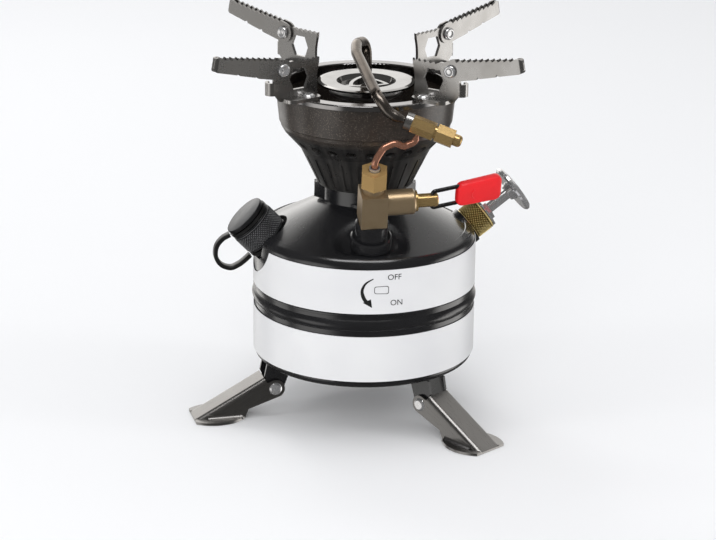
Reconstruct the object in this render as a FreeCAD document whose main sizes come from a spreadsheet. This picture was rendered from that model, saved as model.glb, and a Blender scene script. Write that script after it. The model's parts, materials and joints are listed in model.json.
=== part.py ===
import FreeCAD, Part
import math
import os
import Sketcher

# Pressure stove for a tabletop: round fuel tank on three folding legs, hand pump,
# valve with a wire handle, vaporiser tube over the burner, four folding pot supports.
# The origin is on the ground under the tank's axis, +Z is up, and the pump is on the +X side.

os.makedirs("parts", exist_ok=True)
doc = FreeCAD.newDocument("OilStove")
Vector = FreeCAD.Vector
Turn = FreeCAD.Rotation
Place = FreeCAD.Placement
X, Y, Z = Vector(1, 0, 0), Vector(0, 1, 0), Vector(0, 0, 1)

# Driving sizes in millimetres and degrees, read back from the sheet by name.
SIZES = {
    # clearances and fits
    "seat_gap": 0.3, "shaft_gap": 0.05, "side_gap": 0.1,
    # tank
    "tank_radius": 49.5, "tank_wall": 0.9, "foot_height": 25.7, "foot_width": 2.2,
    "foot_round": 3.2, "base_height": 27.5, "bead_low": 52.5, "bead_high": 57.7,
    "bead_proud": 1.1, "thin_low": 59.3, "thin_high": 60.7, "thin_proud": 0.5,
    "wall_high": 81.3, "shoulder_round": 4.0, "dome_inset": 2.0, "dome_rise": 0.52,
    "dome_low": 85.1, "crease_inset": 4.5, "crease_drop": 0.5, "crown_radius": 20.0,
    "crown_height": 99.5, "well_inset": 16.5, "label_thick": 0.25,
    "lower_label_low": 29.4, "lower_label_high": 50.2, "upper_label_low": 60.9,
    "upper_label_high": 80.9,
    # filler and its cap
    "filler_turn": 175.0, "filler_tilt": 46.0, "filler_inset": 4.8, "filler_height": 82.6,
    "filler_pad": 12.5, "filler_depth": 3.0, "neck_radius": 8.2, "neck_bore": 6.4,
    "neck_top": 8.0, "neck_flange": 9.7, "neck_inside": 5.0, "cap_radius": 10.7,
    "cap_barrel": 10.5, "cap_groove": 8.5, "groove_top": 12.5, "cap_top": 14.6,
    "cap_disc": 10.0, "gasket_thick": 1.2, "ring_thick": 1.3, "ring_radius": 10.4,
    "notch_lift": 5.4, "notch_radius": 20.8, "strap_wide": 5.0, "strap_thick": 1.9,
    # pump
    "pump_turn": 3.0, "pump_tilt": 35.0, "pump_inset": 0.5, "pump_height": 81.4,
    "pump_neck_radius": 8.75, "pump_neck_low": 9.0, "pump_neck_high": 0.4,
    "barrel_radius": 7.5, "barrel_bore": 6.5, "barrel_long": 42.0, "check_radius": 6.2,
    "check_long": 6.0, "pump_cap_radius": 8.0, "pump_cap_top": 9.6, "spigot_long": 4.0,
    "end_disc": 7.6, "end_disc_thick": 0.9, "end_nut_flats": 8.6, "end_nut_top": 12.3,
    "rod_radius": 2.5, "rod_end": 27.0,
    "knob_radius": 11.5, "knob_low": 25.4, "knob_thick": 2.6, "knob_cone": 4.6,
    "cup_low": 26.0, "cup_high": 21.6, "cup_gap": 0.1,
    # valve
    "valve_x": -7.92, "valve_y": -41.36, "valve_z": 100.9, "valve_turn": -10.0,
    "valve_lean": 20.0, "valve_twist": 5.0, "boss_radius": 7.2, "boss_long": 13.5,
    "boss_collar": 9.0, "boss_collar_high": 8.2, "boss_inside": 16.0,
    "block_side": 11.4, "block_tall": 16.1, "male_radius": 4.6, "male_long": 3.3,
    "feed_nut_flats": 10.6, "feed_nut_long": 8.0, "feed_nut_turn": -10.0,
    "ferrule_radius": 2.35, "ferrule_low": 23.6, "ferrule_high": 28.6,
    "gland_radius": 5.6, "gland_long": 12.5, "gland_ring": 1.0, "spindle_radius": 3.0,
    "spindle_height": 9.3, "spindle_end": 28.4, "spindle_start": 3.0, "cross_hole": 26.0,
    "pickup_radius": 2.0, "pickup_bend": 12.0, "pickup_rise": 5.5, "strainer_radius": 3.4,
    "strainer_tall": 2.4,
    # handle
    "wire_radius": 0.9, "loop_half": 4.3, "loop_long": 28.6, "loop_round": 2.6,
    "grip_start": 11.2, "grip_end": 32.2, "grip_near": 5.7, "grip_far": 6.4,
    "grip_thick": 4.2, "handle_swing": 12.5, "grip_bend": 3.2,
    # feed tube and vaporiser
    "feed_radius": 1.5, "feed_bend": 3.2, "tube_radius": 2.4, "tube_bore": 1.6,
    "tube_bend": 7.5, "inlet_turn": 72.5, "inlet_bend": 20.5, "tube_flange": 4.0,
    "flange_thick": 3.0, "fit_nut_flats": 7.0, "fit_nut_end": 11.6, "plug_neck": 2.9,
    "plug_start": 12.6, "plug_flats": 7.6, "plug_end": 20.3, "plug_tip": 24.0,
    # burner base
    "plate_corner": 24.2, "plate_cut": 1.5, "plate_thick": 1.5, "wall_tall": 7.0,
    "wall_long": 12.0, "collar_radius": 19.0, "collar_wall": 3.2, "bowl_low": 106.7,
    "plate_turn": -15.0,
    # bowl
    "bowl_foot": 21.2, "cone_top": 121.6, "cone_radius": 28.4, "neck_ring": 123.4,
    "neck_ring_radius": 29.3, "chamfer_top": 130.8, "chamfer_radius": 36.1,
    "step_height": 134.9, "step_radius": 37.9, "bowl_top": 150.4, "bowl_radius": 40.0,
    "bowl_wall": 1.2, "air_hole_radius": 2.35, "air_holes": 24, "cone_flutes": 24,
    "flute_deep": 0.45, "flute_wide": 1.5, "flute_turn": 9.4, "hole_turn": -5.5,
    # rim ring
    "ring_top": 151.6, "ring_outer": 41.3, "ring_inner": 35.5, "ring_sheet": 0.9,
    "skirt_low": 149.3, "lip_low": 147.0,
    # burner inside the bowl
    "mixer_radius": 7.5, "mixer_wall": 0.7, "mixer_top": 146.0, "port_radius": 4.0,
    "port_height": 115.0, "hub_half": 4.2, "hub_top": 118.0, "jet_radius": 2.3,
    "jet_top": 121.0, "jet_bore": 0.3, "wick_inner": 12.0, "wick_outer": 19.0,
    "wick_top": 111.2, "spreader_radius": 16.4, "spreader_top": 148.6, "post_radius": 2.2,
    "cap_edge": 21.5, "cap_edge_top": 152.6, "cap_recess": 12.5, "cap_recess_top": 150.2,
    "cap_sheet": 0.8, "rib_tall": 1.6,
    # pot supports
    "support_radial": 38.5, "rivet_side": 3.5, "rivet_radius": 1.5, "rivet_head": 2.7,
    "rivet_head_tall": 1.1, "support_sheet": 1.5, "support_top": 168.7,
    "support_back": 7.7, "support_front": 16.0, "window_x": 2.9, "window_z": 160.8,
    "window_wide": 10.0, "window_tall": 9.2, "arm_rivet_x": 12.0, "arm_rivet_z": 165.8,
    "arm_long": 35.6, "arm_tilt": 11.5, "arm_boss": 4.6, "arm_end": 3.25, "arm_sheet": 0.9,
    "arm_head": 2.6, "arm_teeth": 10, "notch_deep": 1.1, "tooth_deep": 1.1,
    "foot_reach": 12.0, "foot_back": 5.2, "foot_side": 7.2, "foot_bend": 3.4,
    "waist_round": 30.0, "hook_low": 154.6, "hook_high": 160.2, "hook_radius": 3.0,
    # legs
    "leg_inset": 7.0, "leg_height": 13.1, "leg_slope": 28.6, "leg_half": 6.8,
    "leg_sheet": 1.2, "leg_corner": 2.3, "web_high": 7.0, "web_start": 2.0,
    "cheek_round": 4.2, "knee_out": 12.6, "knee_high": 4.5, "sole_start": 14.5,
    "toe_out": 37.0, "toe_wide": 1.8, "sole_round": 16.0, "sole_fillet": 1.8,
    "pin_radius": 1.5, "pin_head": 3.0, "pin_head_tall": 1.0,
    "bracket_half": 5.35, "back_inset": 14.9, "front_inset": 6.3,
}

# Sizes that keep their distance from another one: its name, the distance and the side.
FOLLOWS = {
    "dome_edge": ("tank_radius", "dome_inset", -1),
    "crease_radius": ("tank_radius", "crease_inset", -1),
    "well_edge": ("tank_radius", "well_inset", -1),
    "filler_radial": ("tank_radius", "filler_inset", -1),
    "notch_height": ("filler_height", "notch_lift", 1),
    "pump_radial": ("tank_radius", "pump_inset", -1),
    "pickup_end": ("base_height", "pickup_rise", 1),
    "leg_radial": ("tank_radius", "leg_inset", -1),
    "bracket_back": ("tank_radius", "back_inset", -1),
    "bracket_front": ("tank_radius", "front_inset", -1),
}


# A size that carries both its number and the expression that drives it.
class Dim:
    def __init__(self, value, text):
        self.value = float(value)
        self.text = text

    def __add__(self, other):
        return joined(self, other, "+", lambda a, b: a + b)

    def __radd__(self, other):
        return joined(other, self, "+", lambda a, b: a + b)

    def __sub__(self, other):
        return joined(self, other, "-", lambda a, b: a - b)

    def __rsub__(self, other):
        return joined(other, self, "-", lambda a, b: a - b)

    def __mul__(self, other):
        return joined(self, other, "*", lambda a, b: a * b)

    def __rmul__(self, other):
        return joined(other, self, "*", lambda a, b: a * b)

    def __truediv__(self, other):
        return joined(self, other, "/", lambda a, b: a / b)

    def __neg__(self):
        return joined(0, self, "-", lambda a, b: a - b)


def as_dim(size):
    return size if isinstance(size, Dim) else Dim(size, repr(float(size)))


def joined(first, second, sign, work):
    first = as_dim(first)
    second = as_dim(second)
    text = "(%s %s %s)" % (first.text, sign, second.text)
    return Dim(work(first.value, second.value), text)


class Names:
    def __getattr__(self, name):
        if name in FOLLOWS:
            base, distance, side = FOLLOWS[name]
            return getattr(self, base) + getattr(self, distance) * side
        return Dim(SIZES[name], "Sizes." + name)


s = Names()
sheet = doc.addObject("Spreadsheet::Sheet", "Sizes")
for row, (alias, size) in enumerate(SIZES.items(), start=1):
    sheet.set("A%d" % row, alias)
    sheet.set("B%d" % row, repr(float(size)))
    sheet.setAlias("B%d" % row, alias)
doc.recompute()
nodes = []


def node(thing, label):
    thing.Label = label
    nodes.append(thing)
    return thing


# Placements.
def around_axis(azimuth):
    return Place(Vector(), Turn(Z, azimuth))


def outward(azimuth, tilt, radial, height):
    """Local Z points away from the tank's axis, tilted up from the level."""
    leaned = Place(Vector(radial, 0, height), Turn(Y, 90 - tilt))
    return around_axis(azimuth).multiply(leaned)


# Sketch and feature helpers.
def origin_plane(body, role):
    return next(item for item in body.Origin.OriginFeatures if item.Role == role)


def new_body(label):
    body = doc.addObject("PartDesign::Body", "Body")
    body.Label = label
    return body


def new_sketch(body, role="XZ_Plane", offset=None, place=None):
    sketch = body.newObject("Sketcher::SketchObject", "Sketch")
    sketch.AttachmentSupport = (origin_plane(body, role), [""])
    sketch.MapMode = "FlatFace"
    if place is not None:
        sketch.AttachmentOffset = place
    if offset is not None:
        sketch.setExpression("AttachmentOffset.Base.z", as_dim(offset).text)
    return sketch


def pin_point(sketch, edge, end, x, y):
    for kind, size in (("DistanceX", as_dim(x)), ("DistanceY", as_dim(y))):
        index = sketch.addConstraint(Sketcher.Constraint(kind, -1, 1, edge, end, size.value))
        sketch.setExpression("Constraints[%d]" % index, size.text)


def arc_middle(start, finish, radius):
    """The arc's middle point; a positive radius runs counter-clockwise."""
    chord = finish - start
    side = Vector(-chord.y, chord.x, 0).normalize()
    rise = abs(radius) - math.sqrt(max(radius ** 2 - (chord.Length / 2) ** 2, 0))
    return (start + finish) * 0.5 - side * math.copysign(rise, radius)


def limit_arc(sketch, edge, size, start, finish):
    """Fixes an arc by its radius, or a half circle by its centre."""
    across = as_dim(finish[0]).value - as_dim(start[0]).value
    up = as_dim(finish[1]).value - as_dim(start[1]).value
    if abs(math.hypot(across, up) - 2 * abs(size.value)) > 0.001:
        rule = Sketcher.Constraint("Radius", edge, abs(size.value))
        text = "abs(%s)" % size.text
    else:
        kind, level = ("DistanceX", start[0]) if abs(across) < abs(up) else ("DistanceY", start[1])
        rule = Sketcher.Constraint(kind, -1, 1, edge, 3, as_dim(level).value)
        text = as_dim(level).text
    index = sketch.addConstraint(rule)
    sketch.setExpression("Constraints[%d]" % index, text)


def draw(sketch, points, arcs=None):
    """A closed outline. arcs gives the radius of the edge that starts at a point."""
    arcs = arcs or {}
    spots = [Vector(as_dim(x).value, as_dim(y).value, 0) for x, y in points]
    ends = []
    for number, start in enumerate(spots):
        finish = spots[(number + 1) % len(spots)]
        radius = arcs.get(number)
        if radius is None:
            edge = sketch.addGeometry(Part.LineSegment(start, finish), False)
            ends.append((edge, 1, 2))
            continue
        middle = arc_middle(start, finish, as_dim(radius).value)
        edge = sketch.addGeometry(Part.Arc(start, middle, finish), False)
        straight = as_dim(radius).value > 0
        ends.append((edge, 1, 2) if straight else (edge, 2, 1))
    for number, (edge, first, last) in enumerate(ends):
        pin_point(sketch, edge, first, *points[number])
        following = ends[(number + 1) % len(ends)]
        tie = Sketcher.Constraint("Coincident", edge, last, following[0], following[1])
        sketch.addConstraint(tie)
        if number in arcs:
            limit_arc(sketch, edge, as_dim(arcs[number]), points[number],
                      points[(number + 1) % len(points)])


def draw_disc(sketch, x, y, radius):
    centre = Vector(as_dim(x).value, as_dim(y).value, 0)
    circle = Part.Circle(centre, Z, as_dim(radius).value)
    edge = sketch.addGeometry(circle, False)
    pin_point(sketch, edge, 3, x, y)
    rule = Sketcher.Constraint("Radius", edge, as_dim(radius).value)
    index = sketch.addConstraint(rule)
    sketch.setExpression("Constraints[%d]" % index, as_dim(radius).text)


def feature(body, kind, sketch, length, both_ways, reverse):
    made = body.newObject("PartDesign::" + kind, kind)
    made.Profile = (sketch, [""])
    made.setExpression("Length", as_dim(length).text)
    made.SideType = "Symmetric" if both_ways else "One side"
    made.Reversed = reverse
    sketch.Visibility = False
    return made


def pad(body, sketch, length, both_ways=False, reverse=False):
    return feature(body, "Pad", sketch, length, both_ways, reverse)


def pocket(body, sketch, length, both_ways=False, reverse=False):
    return feature(body, "Pocket", sketch, length, both_ways, reverse)


def revolve(body, sketch, kind="Revolution"):
    made = body.newObject("PartDesign::" + kind, kind)
    made.Profile = (sketch, [""])
    made.ReferenceAxis = (sketch, ["V_Axis"])
    made.Angle = 360
    return made


def repeat_round(body, made, count):
    pattern = body.newObject("PartDesign::PolarPattern", "Round")
    pattern.Originals = [made]
    pattern.Axis = (origin_plane(body, "Z_Axis"), [""])
    pattern.Angle = 360
    pattern.setExpression("Occurrences", as_dim(count).text)
    body.Tip = pattern
    return pattern


def turned(label, points, arcs=None, place=None):
    """A piece turned about its local Z from an outline of radius and height."""
    body = new_body(label)
    sketch = new_sketch(body)
    draw(sketch, points, arcs)
    revolve(body, sketch)
    if place is not None:
        body.Placement = place
    return body


def tube(label, inner, outer, low, high, place=None):
    corners = [(inner, low), (outer, low), (outer, high), (inner, high)]
    return turned(label, corners, place=place)


def prism(label, sides, flats, low, high, bore=None, place=None, turn=0):
    """A nut or block with flats, along local Z."""
    body = new_body(label)
    sketch = new_sketch(body, "XY_Plane", low)
    reach = 1 / math.cos(math.pi / sides)
    points = []
    for corner in range(sides):
        angle = math.radians(turn) + math.pi * (2 * corner + 1) / sides
        across = as_dim(flats) / 2
        points.append((across * (reach * math.cos(angle)), across * (reach * math.sin(angle))))
    draw(sketch, points)
    if bore is not None:
        draw_disc(sketch, 0, 0, bore)
    pad(body, sketch, as_dim(high) - low)
    if place is not None:
        body.Placement = place
    return body


def joined_shapes(label, kind, shapes):
    made = doc.addObject("Part::" + kind, kind)
    made.Label = label
    if kind == "Cut":
        made.Base, made.Tool = shapes
    elif kind == "Compound":
        made.Links = shapes
    else:
        made.Shapes = shapes
    return made


def cut(label, base, tool):
    return joined_shapes(label, "Cut", [base, tool])


def cylinder(label, radius, length, place, start=0):
    made = doc.addObject("Part::Cylinder", "Cylinder")
    made.Label = label
    made.setExpression("Radius", as_dim(radius).text)
    made.setExpression("Height", as_dim(length).text)
    made.Placement = place.multiply(Place(Vector(0, 0, as_dim(start).value), Turn()))
    return made


def bent_path(points, radii):
    """Straight runs joined by tangent arcs."""
    edges = []
    here = points[0]
    for number in range(1, len(points) - 1):
        corner = points[number]
        back = (points[number - 1] - corner).normalize()
        ahead = (points[number + 1] - corner).normalize()
        half = back.getAngle(ahead) / 2
        radius = radii[number - 1]
        reach = radius / math.tan(half)
        start = corner + back * reach
        finish = corner + ahead * reach
        bisector = (back + ahead).normalize()
        middle = corner + bisector * (radius / math.sin(half) - radius)
        edges.append(Part.LineSegment(here, start).toShape())
        edges.append(Part.Arc(start, middle, finish).toShape())
        here = finish
    edges.append(Part.LineSegment(here, points[-1]).toShape())
    return Part.Wire(edges)


def swept(path, radius):
    first = path.OrderedEdges[0]
    start = first.valueAt(first.FirstParameter)
    along = first.tangentAt(first.FirstParameter)
    ring = Part.Wire([Part.makeCircle(radius, start, along)])
    return path.makePipeShell([ring], True, True)


def bent_tube(label, points, radii, radius, bore=0):
    path = bent_path(points, radii)
    shape = swept(path, radius)
    section = math.pi * (radius ** 2 - bore ** 2)
    if bore > 0:
        shape = shape.cut(swept(path, bore))
    if abs(shape.Volume / (section * path.Length) - 1) > 0.02:
        raise ValueError(label + " has the wrong volume")
    made = doc.addObject("Part::Feature", "Bent")
    made.Label = label
    made.Shape = shape
    return made


# Tank.
def dome_height(radius, lift=0):
    return s.dome_low + s.dome_rise * (s.dome_edge - radius) - s.crease_drop + lift


def crease_height():
    """The top of the small step where the shoulder meets the dome."""
    return s.dome_low + s.dome_rise * (s.dome_edge - s.crease_radius - 0.5)


def dome_solid(label, lift):
    """Everything inside the dome's outer surface, raised by lift."""
    flat = s.crown_radius - 1
    edge = s.dome_edge
    points = [(0, s.thin_high), (edge + 1, s.thin_high), (edge + 1, s.dome_low + lift),
              (edge, s.dome_low + lift), (s.crease_radius + 0.5, crease_height() + lift),
              (s.crease_radius, dome_height(s.crease_radius, lift)),
              (flat, dome_height(flat, lift)), (0, dome_height(flat, lift))]
    return turned(label, points)


def make_lower_shell():
    wall = s.tank_wall
    outer = s.tank_radius
    foot_in = outer - s.foot_round - s.foot_width
    points = [(0, s.base_height + wall * 2.2), (0, s.base_height + wall * 1.2),
              (s.well_edge, s.base_height + wall * 1.2), (s.well_edge + 0.5, s.base_height),
              (foot_in - 0.6, s.base_height), (foot_in + 0.8, s.foot_height),
              (outer - s.foot_round, s.foot_height), (outer, s.foot_height + s.foot_round),
              (outer, s.bead_low), (outer + s.bead_proud, (s.bead_low + s.bead_high) / 2),
              (outer, s.bead_high), (outer, s.bead_high + s.seat_gap),
              (outer - wall, s.bead_high + s.seat_gap),
              (outer - wall, s.foot_height + s.foot_round + wall * 0.2),
              (outer - s.foot_round + wall * 0.1, s.foot_height + wall),
              (foot_in + 1.2, s.foot_height + wall), (foot_in - 0.2, s.base_height + wall)]
    arcs = {6: s.foot_round, 8: 4.2, 9: 4.2, 13: -(s.foot_round - wall * 0.6)}
    points.append((s.well_edge + 0.9, s.base_height + wall))
    points.append((s.well_edge + 0.4, s.base_height + wall * 2.2))
    node(turned("tank_lower_shell", points, arcs), "tank_lower_shell")


def make_upper_shell():
    wall = s.tank_wall
    outer = s.tank_radius
    low = s.bead_high + s.seat_gap
    crease = s.crease_radius
    crown = s.crown_radius
    crease_top = crease_height()
    points = [(outer - wall, low), (outer, low), (outer, s.thin_low),
              (outer + s.thin_proud, s.thin_low + 0.3), (outer + s.thin_proud, s.thin_high - 0.3),
              (outer, s.thin_high), (outer, s.wall_high), (s.dome_edge, s.dome_low),
              (crease + 0.5, crease_top), (crease, dome_height(crease)),
              (crown, dome_height(crown)), (crown - 1, s.crown_height), (0, s.crown_height),
              (0, s.crown_height - wall), (crown - 1, s.crown_height - wall),
              (crown, dome_height(crown) - wall * 1.13),
              (s.dome_edge - 0.5, dome_height(s.dome_edge - 0.5) - wall * 1.13),
              (outer - wall, s.wall_high)]
    arcs = {6: s.shoulder_round, 16: -(s.shoulder_round - wall)}
    form = turned("upper_shell_form", points, arcs)
    hull_points = [(0, low), (outer, low), (outer, s.wall_high), (s.dome_edge, s.dome_low),
                   (crease + 0.5, crease_top), (crease, dome_height(crease)),
                   (crown, dome_height(crown)), (crown - 1, s.crown_height),
                   (0, s.crown_height)]
    hull = turned("upper_shell_hull", hull_points, {2: s.shoulder_round})
    filler = filler_place()
    floor = -s.filler_depth
    seat = cylinder("filler_seat", s.filler_pad + wall / 2, 30, filler, floor - wall / 2)
    sunk = cut("upper_shell_sunk", form, seat)
    plate = cylinder("filler_plate", s.filler_pad + wall, wall, filler, floor - wall)
    side = tube("filler_side", s.filler_pad, s.filler_pad + wall, floor - wall, 14, filler)
    dish = joined_shapes("filler_dish", "MultiFuse", [plate, side])
    trimmed = joined_shapes("filler_dish_trimmed", "MultiCommon", [dish, hull])
    whole = joined_shapes("upper_shell_whole", "MultiFuse", [sunk, trimmed])
    gap = s.seat_gap
    holes = [cylinder("filler_hole", s.neck_radius + gap, 12, filler, -8),
             cylinder("pump_hole", s.pump_neck_radius + gap, 30, pump_place(), -15),
             cylinder("valve_hole", s.boss_radius - 1 + gap, 40, valve_place(), -30)]
    drill = joined_shapes("upper_shell_holes", "MultiFuse", holes)
    shell = cut("tank_upper_shell", whole, drill)
    node(shell, "tank_upper_shell")


def make_labels():
    inner = s.tank_radius + s.seat_gap
    for name, low, high in (("lower_label", s.lower_label_low, s.lower_label_high),
                            ("upper_label", s.upper_label_low, s.upper_label_high)):
        sleeve = tube(name + "_sleeve", inner, inner + s.label_thick, low, high)
        if name == "upper_label":
            notch = outward(s.filler_turn.value, 0, inner.value - 9, s.notch_height.value)
            openings = [cylinder("label_filler_opening", s.notch_radius, 20, notch),
                        cylinder("label_pump_opening", s.pump_neck_radius + 1, 40,
                                 pump_place(), -s.pump_neck_low * 2)]
            tools = joined_shapes("label_openings", "MultiFuse", openings)
            sleeve = cut(name, sleeve, tools)
        node(sleeve, name)


# Filler neck, cap, gasket and the strap that keeps the cap.
def filler_place():
    return outward(s.filler_turn.value, s.filler_tilt.value,
                   s.filler_radial.value, s.filler_height.value)


def make_filler():
    place = filler_place()
    floor = -s.filler_depth
    gap = s.seat_gap
    neck = [(s.neck_bore, floor - s.neck_inside), (s.neck_radius, floor - s.neck_inside),
            (s.neck_radius, floor), (s.neck_flange, floor), (s.neck_flange, floor + 1.2),
            (s.neck_radius, floor + 1.2), (s.neck_radius, s.neck_top),
            (s.neck_bore, s.neck_top)]
    node(turned("filler_neck", neck, place=place), "filler_neck")
    inside = s.neck_radius + gap
    under = s.neck_top + s.gasket_thick
    shoulder = s.cap_groove
    cap = [(inside, 0), (s.cap_radius, 0), (s.cap_radius, s.cap_barrel - 0.6),
           (s.cap_radius - 0.6, s.cap_barrel), (shoulder, s.cap_barrel),
           (shoulder, s.groove_top), (s.cap_disc, s.groove_top),
           (s.cap_disc, s.cap_top - 0.5), (s.cap_disc - 0.5, s.cap_top), (0, s.cap_top),
           (0, under), (inside, under)]
    node(turned("filler_cap", cap, place=place), "filler_cap")
    node(tube("filler_gasket", s.neck_bore + gap, s.neck_radius - gap, s.neck_top, under,
              place), "filler_gasket")
    middle = (s.cap_barrel + s.groove_top) / 2
    ring = tube("strap_ring", s.cap_groove + gap / 2, s.ring_radius, middle - s.ring_thick / 2,
                middle + s.ring_thick / 2, place)
    node(ring, "strap_ring")
    anchor_low = floor + 1.2
    node(tube("strap_anchor", s.neck_radius + gap / 2, s.ring_radius, anchor_low,
              anchor_low + s.ring_thick, place), "strap_anchor")


def make_strap():
    """A flat band in the filler's upright plane, from the cap's ring to the neck."""
    turn = around_axis(s.filler_turn.value)
    centre = [(60.95, 84.1), (66.2, 80.9), (67.7, 74.2), (60.6, 67.6), (54.6, 71.4),
              (51.9, 74.2)]
    points = [Vector(radial, 0, height) for radial, height in centre]
    path = bent_path(points, [3.6, 5.0, 4.6, 9.0])
    side = s.strap_wide.value / 2
    half = s.strap_thick.value / 2
    along = (points[1] - points[0]).normalize()
    across = Vector(-along.z, 0, along.x) * half
    wide = Y * side
    corners = [points[0] + across + wide, points[0] + across - wide,
               points[0] - across - wide, points[0] - across + wide]
    section = Part.makePolygon(corners + corners[:1])
    strap = doc.addObject("Part::Feature", "Strap")
    strap.Shape = path.makePipeShell([section], True, False)
    strap.Placement = turn
    node(strap, "filler_strap")


# Pump.
def pump_place():
    return outward(s.pump_turn.value, s.pump_tilt.value,
                   s.pump_radial.value, s.pump_height.value)


def make_pump():
    place = pump_place()
    gap = s.seat_gap
    top = s.pump_neck_high
    low = -s.pump_neck_low
    neck = [(s.barrel_radius + gap, low), (s.pump_neck_radius, low),
            (s.pump_neck_radius, top), (s.barrel_radius + gap, top)]
    node(turned("pump_neck", neck, place=place), "pump_neck")
    node(tube("pump_barrel", s.barrel_bore, s.barrel_radius, -s.barrel_long, top, place),
         "pump_barrel")
    check = [(0, -s.barrel_long - s.check_long), (s.check_radius - 2, -s.barrel_long - s.check_long),
             (s.check_radius, -s.barrel_long - 2), (s.barrel_radius, -s.barrel_long - 2),
             (s.barrel_radius, -s.barrel_long), (0, -s.barrel_long)]
    node(turned("pump_check_valve", check, place=place), "pump_check_valve")
    bearing = s.rod_radius + s.shaft_gap
    cap = [(bearing, -s.spigot_long), (s.barrel_bore - gap, -s.spigot_long),
           (s.barrel_bore - gap, top), (s.pump_cap_radius, top),
           (s.pump_cap_radius, s.pump_cap_top - 0.5),
           (s.pump_cap_radius - 0.5, s.pump_cap_top), (bearing, s.pump_cap_top)]
    node(turned("pump_cap", cap, place=place), "pump_cap")
    plate = prism("pump_end_plate", 6, s.end_nut_flats, s.pump_cap_top, s.end_nut_top,
                  s.rod_radius + gap, place)
    disc = new_sketch(plate, "XY_Plane", s.pump_cap_top)
    draw_disc(disc, 0, 0, s.end_disc)
    draw_disc(disc, 0, 0, s.rod_radius + gap)
    pad(plate, disc, s.end_disc_thick)
    node(plate, "pump_end_plate")
    rod = [(0, -s.cup_low), (s.rod_radius, -s.cup_low), (s.rod_radius, s.rod_end - 1.2),
           (0, s.rod_end - 1.2)]
    node(turned("pump_rod", rod, place=place), "pump_rod")
    cup = [(s.rod_radius, -s.cup_low), (s.barrel_bore - s.cup_gap, -s.cup_low),
           (s.barrel_bore - s.cup_gap, -s.cup_high), (s.rod_radius + 1, -s.cup_high),
           (s.rod_radius, -s.cup_high - 1)]
    node(turned("pump_cup", cup, place=place), "pump_cup")
    rim = s.knob_radius
    knob = [(s.rod_radius, s.knob_low - 2.2), (s.rod_radius + 1, s.knob_low - 2.2),
            (s.knob_cone, s.knob_low), (rim - 0.8, s.knob_low), (rim, s.knob_low + 0.8),
            (rim, s.knob_low + s.knob_thick - 0.8), (rim - 0.8, s.knob_low + s.knob_thick),
            (0, s.knob_low + s.knob_thick), (0, s.rod_end - 1.2),
            (s.rod_radius, s.rod_end - 1.2)]
    node(turned("pump_knob", knob, place=place), "pump_knob")


# Valve: its frame has X along the spindle, Y towards the tank's axis, Z up the block.
def valve_place():
    turn = Turn(Z, s.valve_turn.value).multiply(Turn(X, s.valve_lean.value))
    turn = turn.multiply(Turn(Z, s.valve_twist.value))
    return Place(Vector(s.valve_x.value, s.valve_y.value, s.valve_z.value), turn)


def spindle_place():
    lift = Place(Vector(0, 0, s.spindle_height.value), Turn(Y, 90))
    return valve_place().multiply(lift)


def make_valve_boss():
    low = -s.boss_long
    inner = s.boss_radius - 1
    points = [(s.pickup_radius + s.seat_gap, -s.boss_inside), (inner, -s.boss_inside),
              (inner, low), (s.boss_collar, low), (s.boss_collar, -s.boss_collar_high),
              (s.boss_collar - 0.7, 0.6 - s.boss_collar_high), (s.boss_radius, 0.6 - s.boss_collar_high),
              (s.boss_radius, -0.8), (s.boss_radius - 0.8, 0), (s.pickup_radius + s.seat_gap, 0)]
    blank = turned("valve_boss_blank", points, place=valve_place())
    gauge = dome_solid("dome_gauge", s.seat_gap * 1.15)
    core = cylinder("valve_boss_core", inner, s.boss_inside - 1, valve_place(), -s.boss_inside)
    gauge_open = cut("dome_gauge_open", gauge, core)
    node(cut("valve_boss", blank, gauge_open), "valve_boss")


def make_valve_block():
    body = new_body("valve_block")
    half = s.block_side / 2
    square = new_sketch(body, "XY_Plane")
    draw(square, [(-half, -half), (half, -half), (half, half), (-half, half)])
    pad(body, square, s.block_tall)
    neck = new_sketch(body, "XY_Plane", s.block_tall)
    draw_disc(neck, 0, 0, s.male_radius)
    pad(body, neck, s.male_long)
    bore = new_sketch(body, "YZ_Plane", half)
    draw_disc(bore, 0, s.spindle_height, s.spindle_radius + s.seat_gap)
    pocket(body, bore, half - s.spindle_start + s.seat_gap)
    body.Placement = valve_place()
    node(body, "valve_block")


def make_valve_fittings():
    place = valve_place()
    spindle = spindle_place()
    start = s.block_side / 2
    face = start + s.gland_long
    bearing = s.spindle_radius + s.shaft_gap
    gland = [(bearing, start), (s.gland_radius, start), (s.gland_radius, face - 0.8),
             (s.gland_radius - 0.8, face), (bearing, face)]
    node(turned("valve_gland", gland, place=spindle), "valve_gland")
    ring = tube("gland_ring", s.spindle_radius + s.seat_gap, s.gland_radius - 1.0, face,
                face + s.gland_ring, spindle)
    node(ring, "gland_ring")
    nut_low = s.block_tall + s.male_long
    nut = prism("feed_nut", 6, s.feed_nut_flats, nut_low, nut_low + s.feed_nut_long,
                s.ferrule_radius + s.seat_gap, place, s.feed_nut_turn.value)
    node(nut, "feed_nut")
    ferrule = tube("feed_ferrule", s.feed_radius + s.seat_gap, s.ferrule_radius,
                   s.ferrule_low, s.ferrule_high, place)
    node(ferrule, "feed_ferrule")


def make_spindle():
    body = turned("valve_spindle",
                  [(0, s.spindle_start), (s.spindle_radius - 1.4, s.spindle_start),
                   (s.spindle_radius, s.spindle_start + 1.4),
                   (s.spindle_radius, s.spindle_end - 0.5),
                   (s.spindle_radius - 0.5, s.spindle_end), (0, s.spindle_end)])
    hole = new_sketch(body, "YZ_Plane")
    draw_disc(hole, 0, s.cross_hole, s.wire_radius + s.shaft_gap)
    pocket(body, hole, s.spindle_radius * 4, both_ways=True)
    body.Placement = spindle_place()
    node(body, "valve_spindle")


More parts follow.
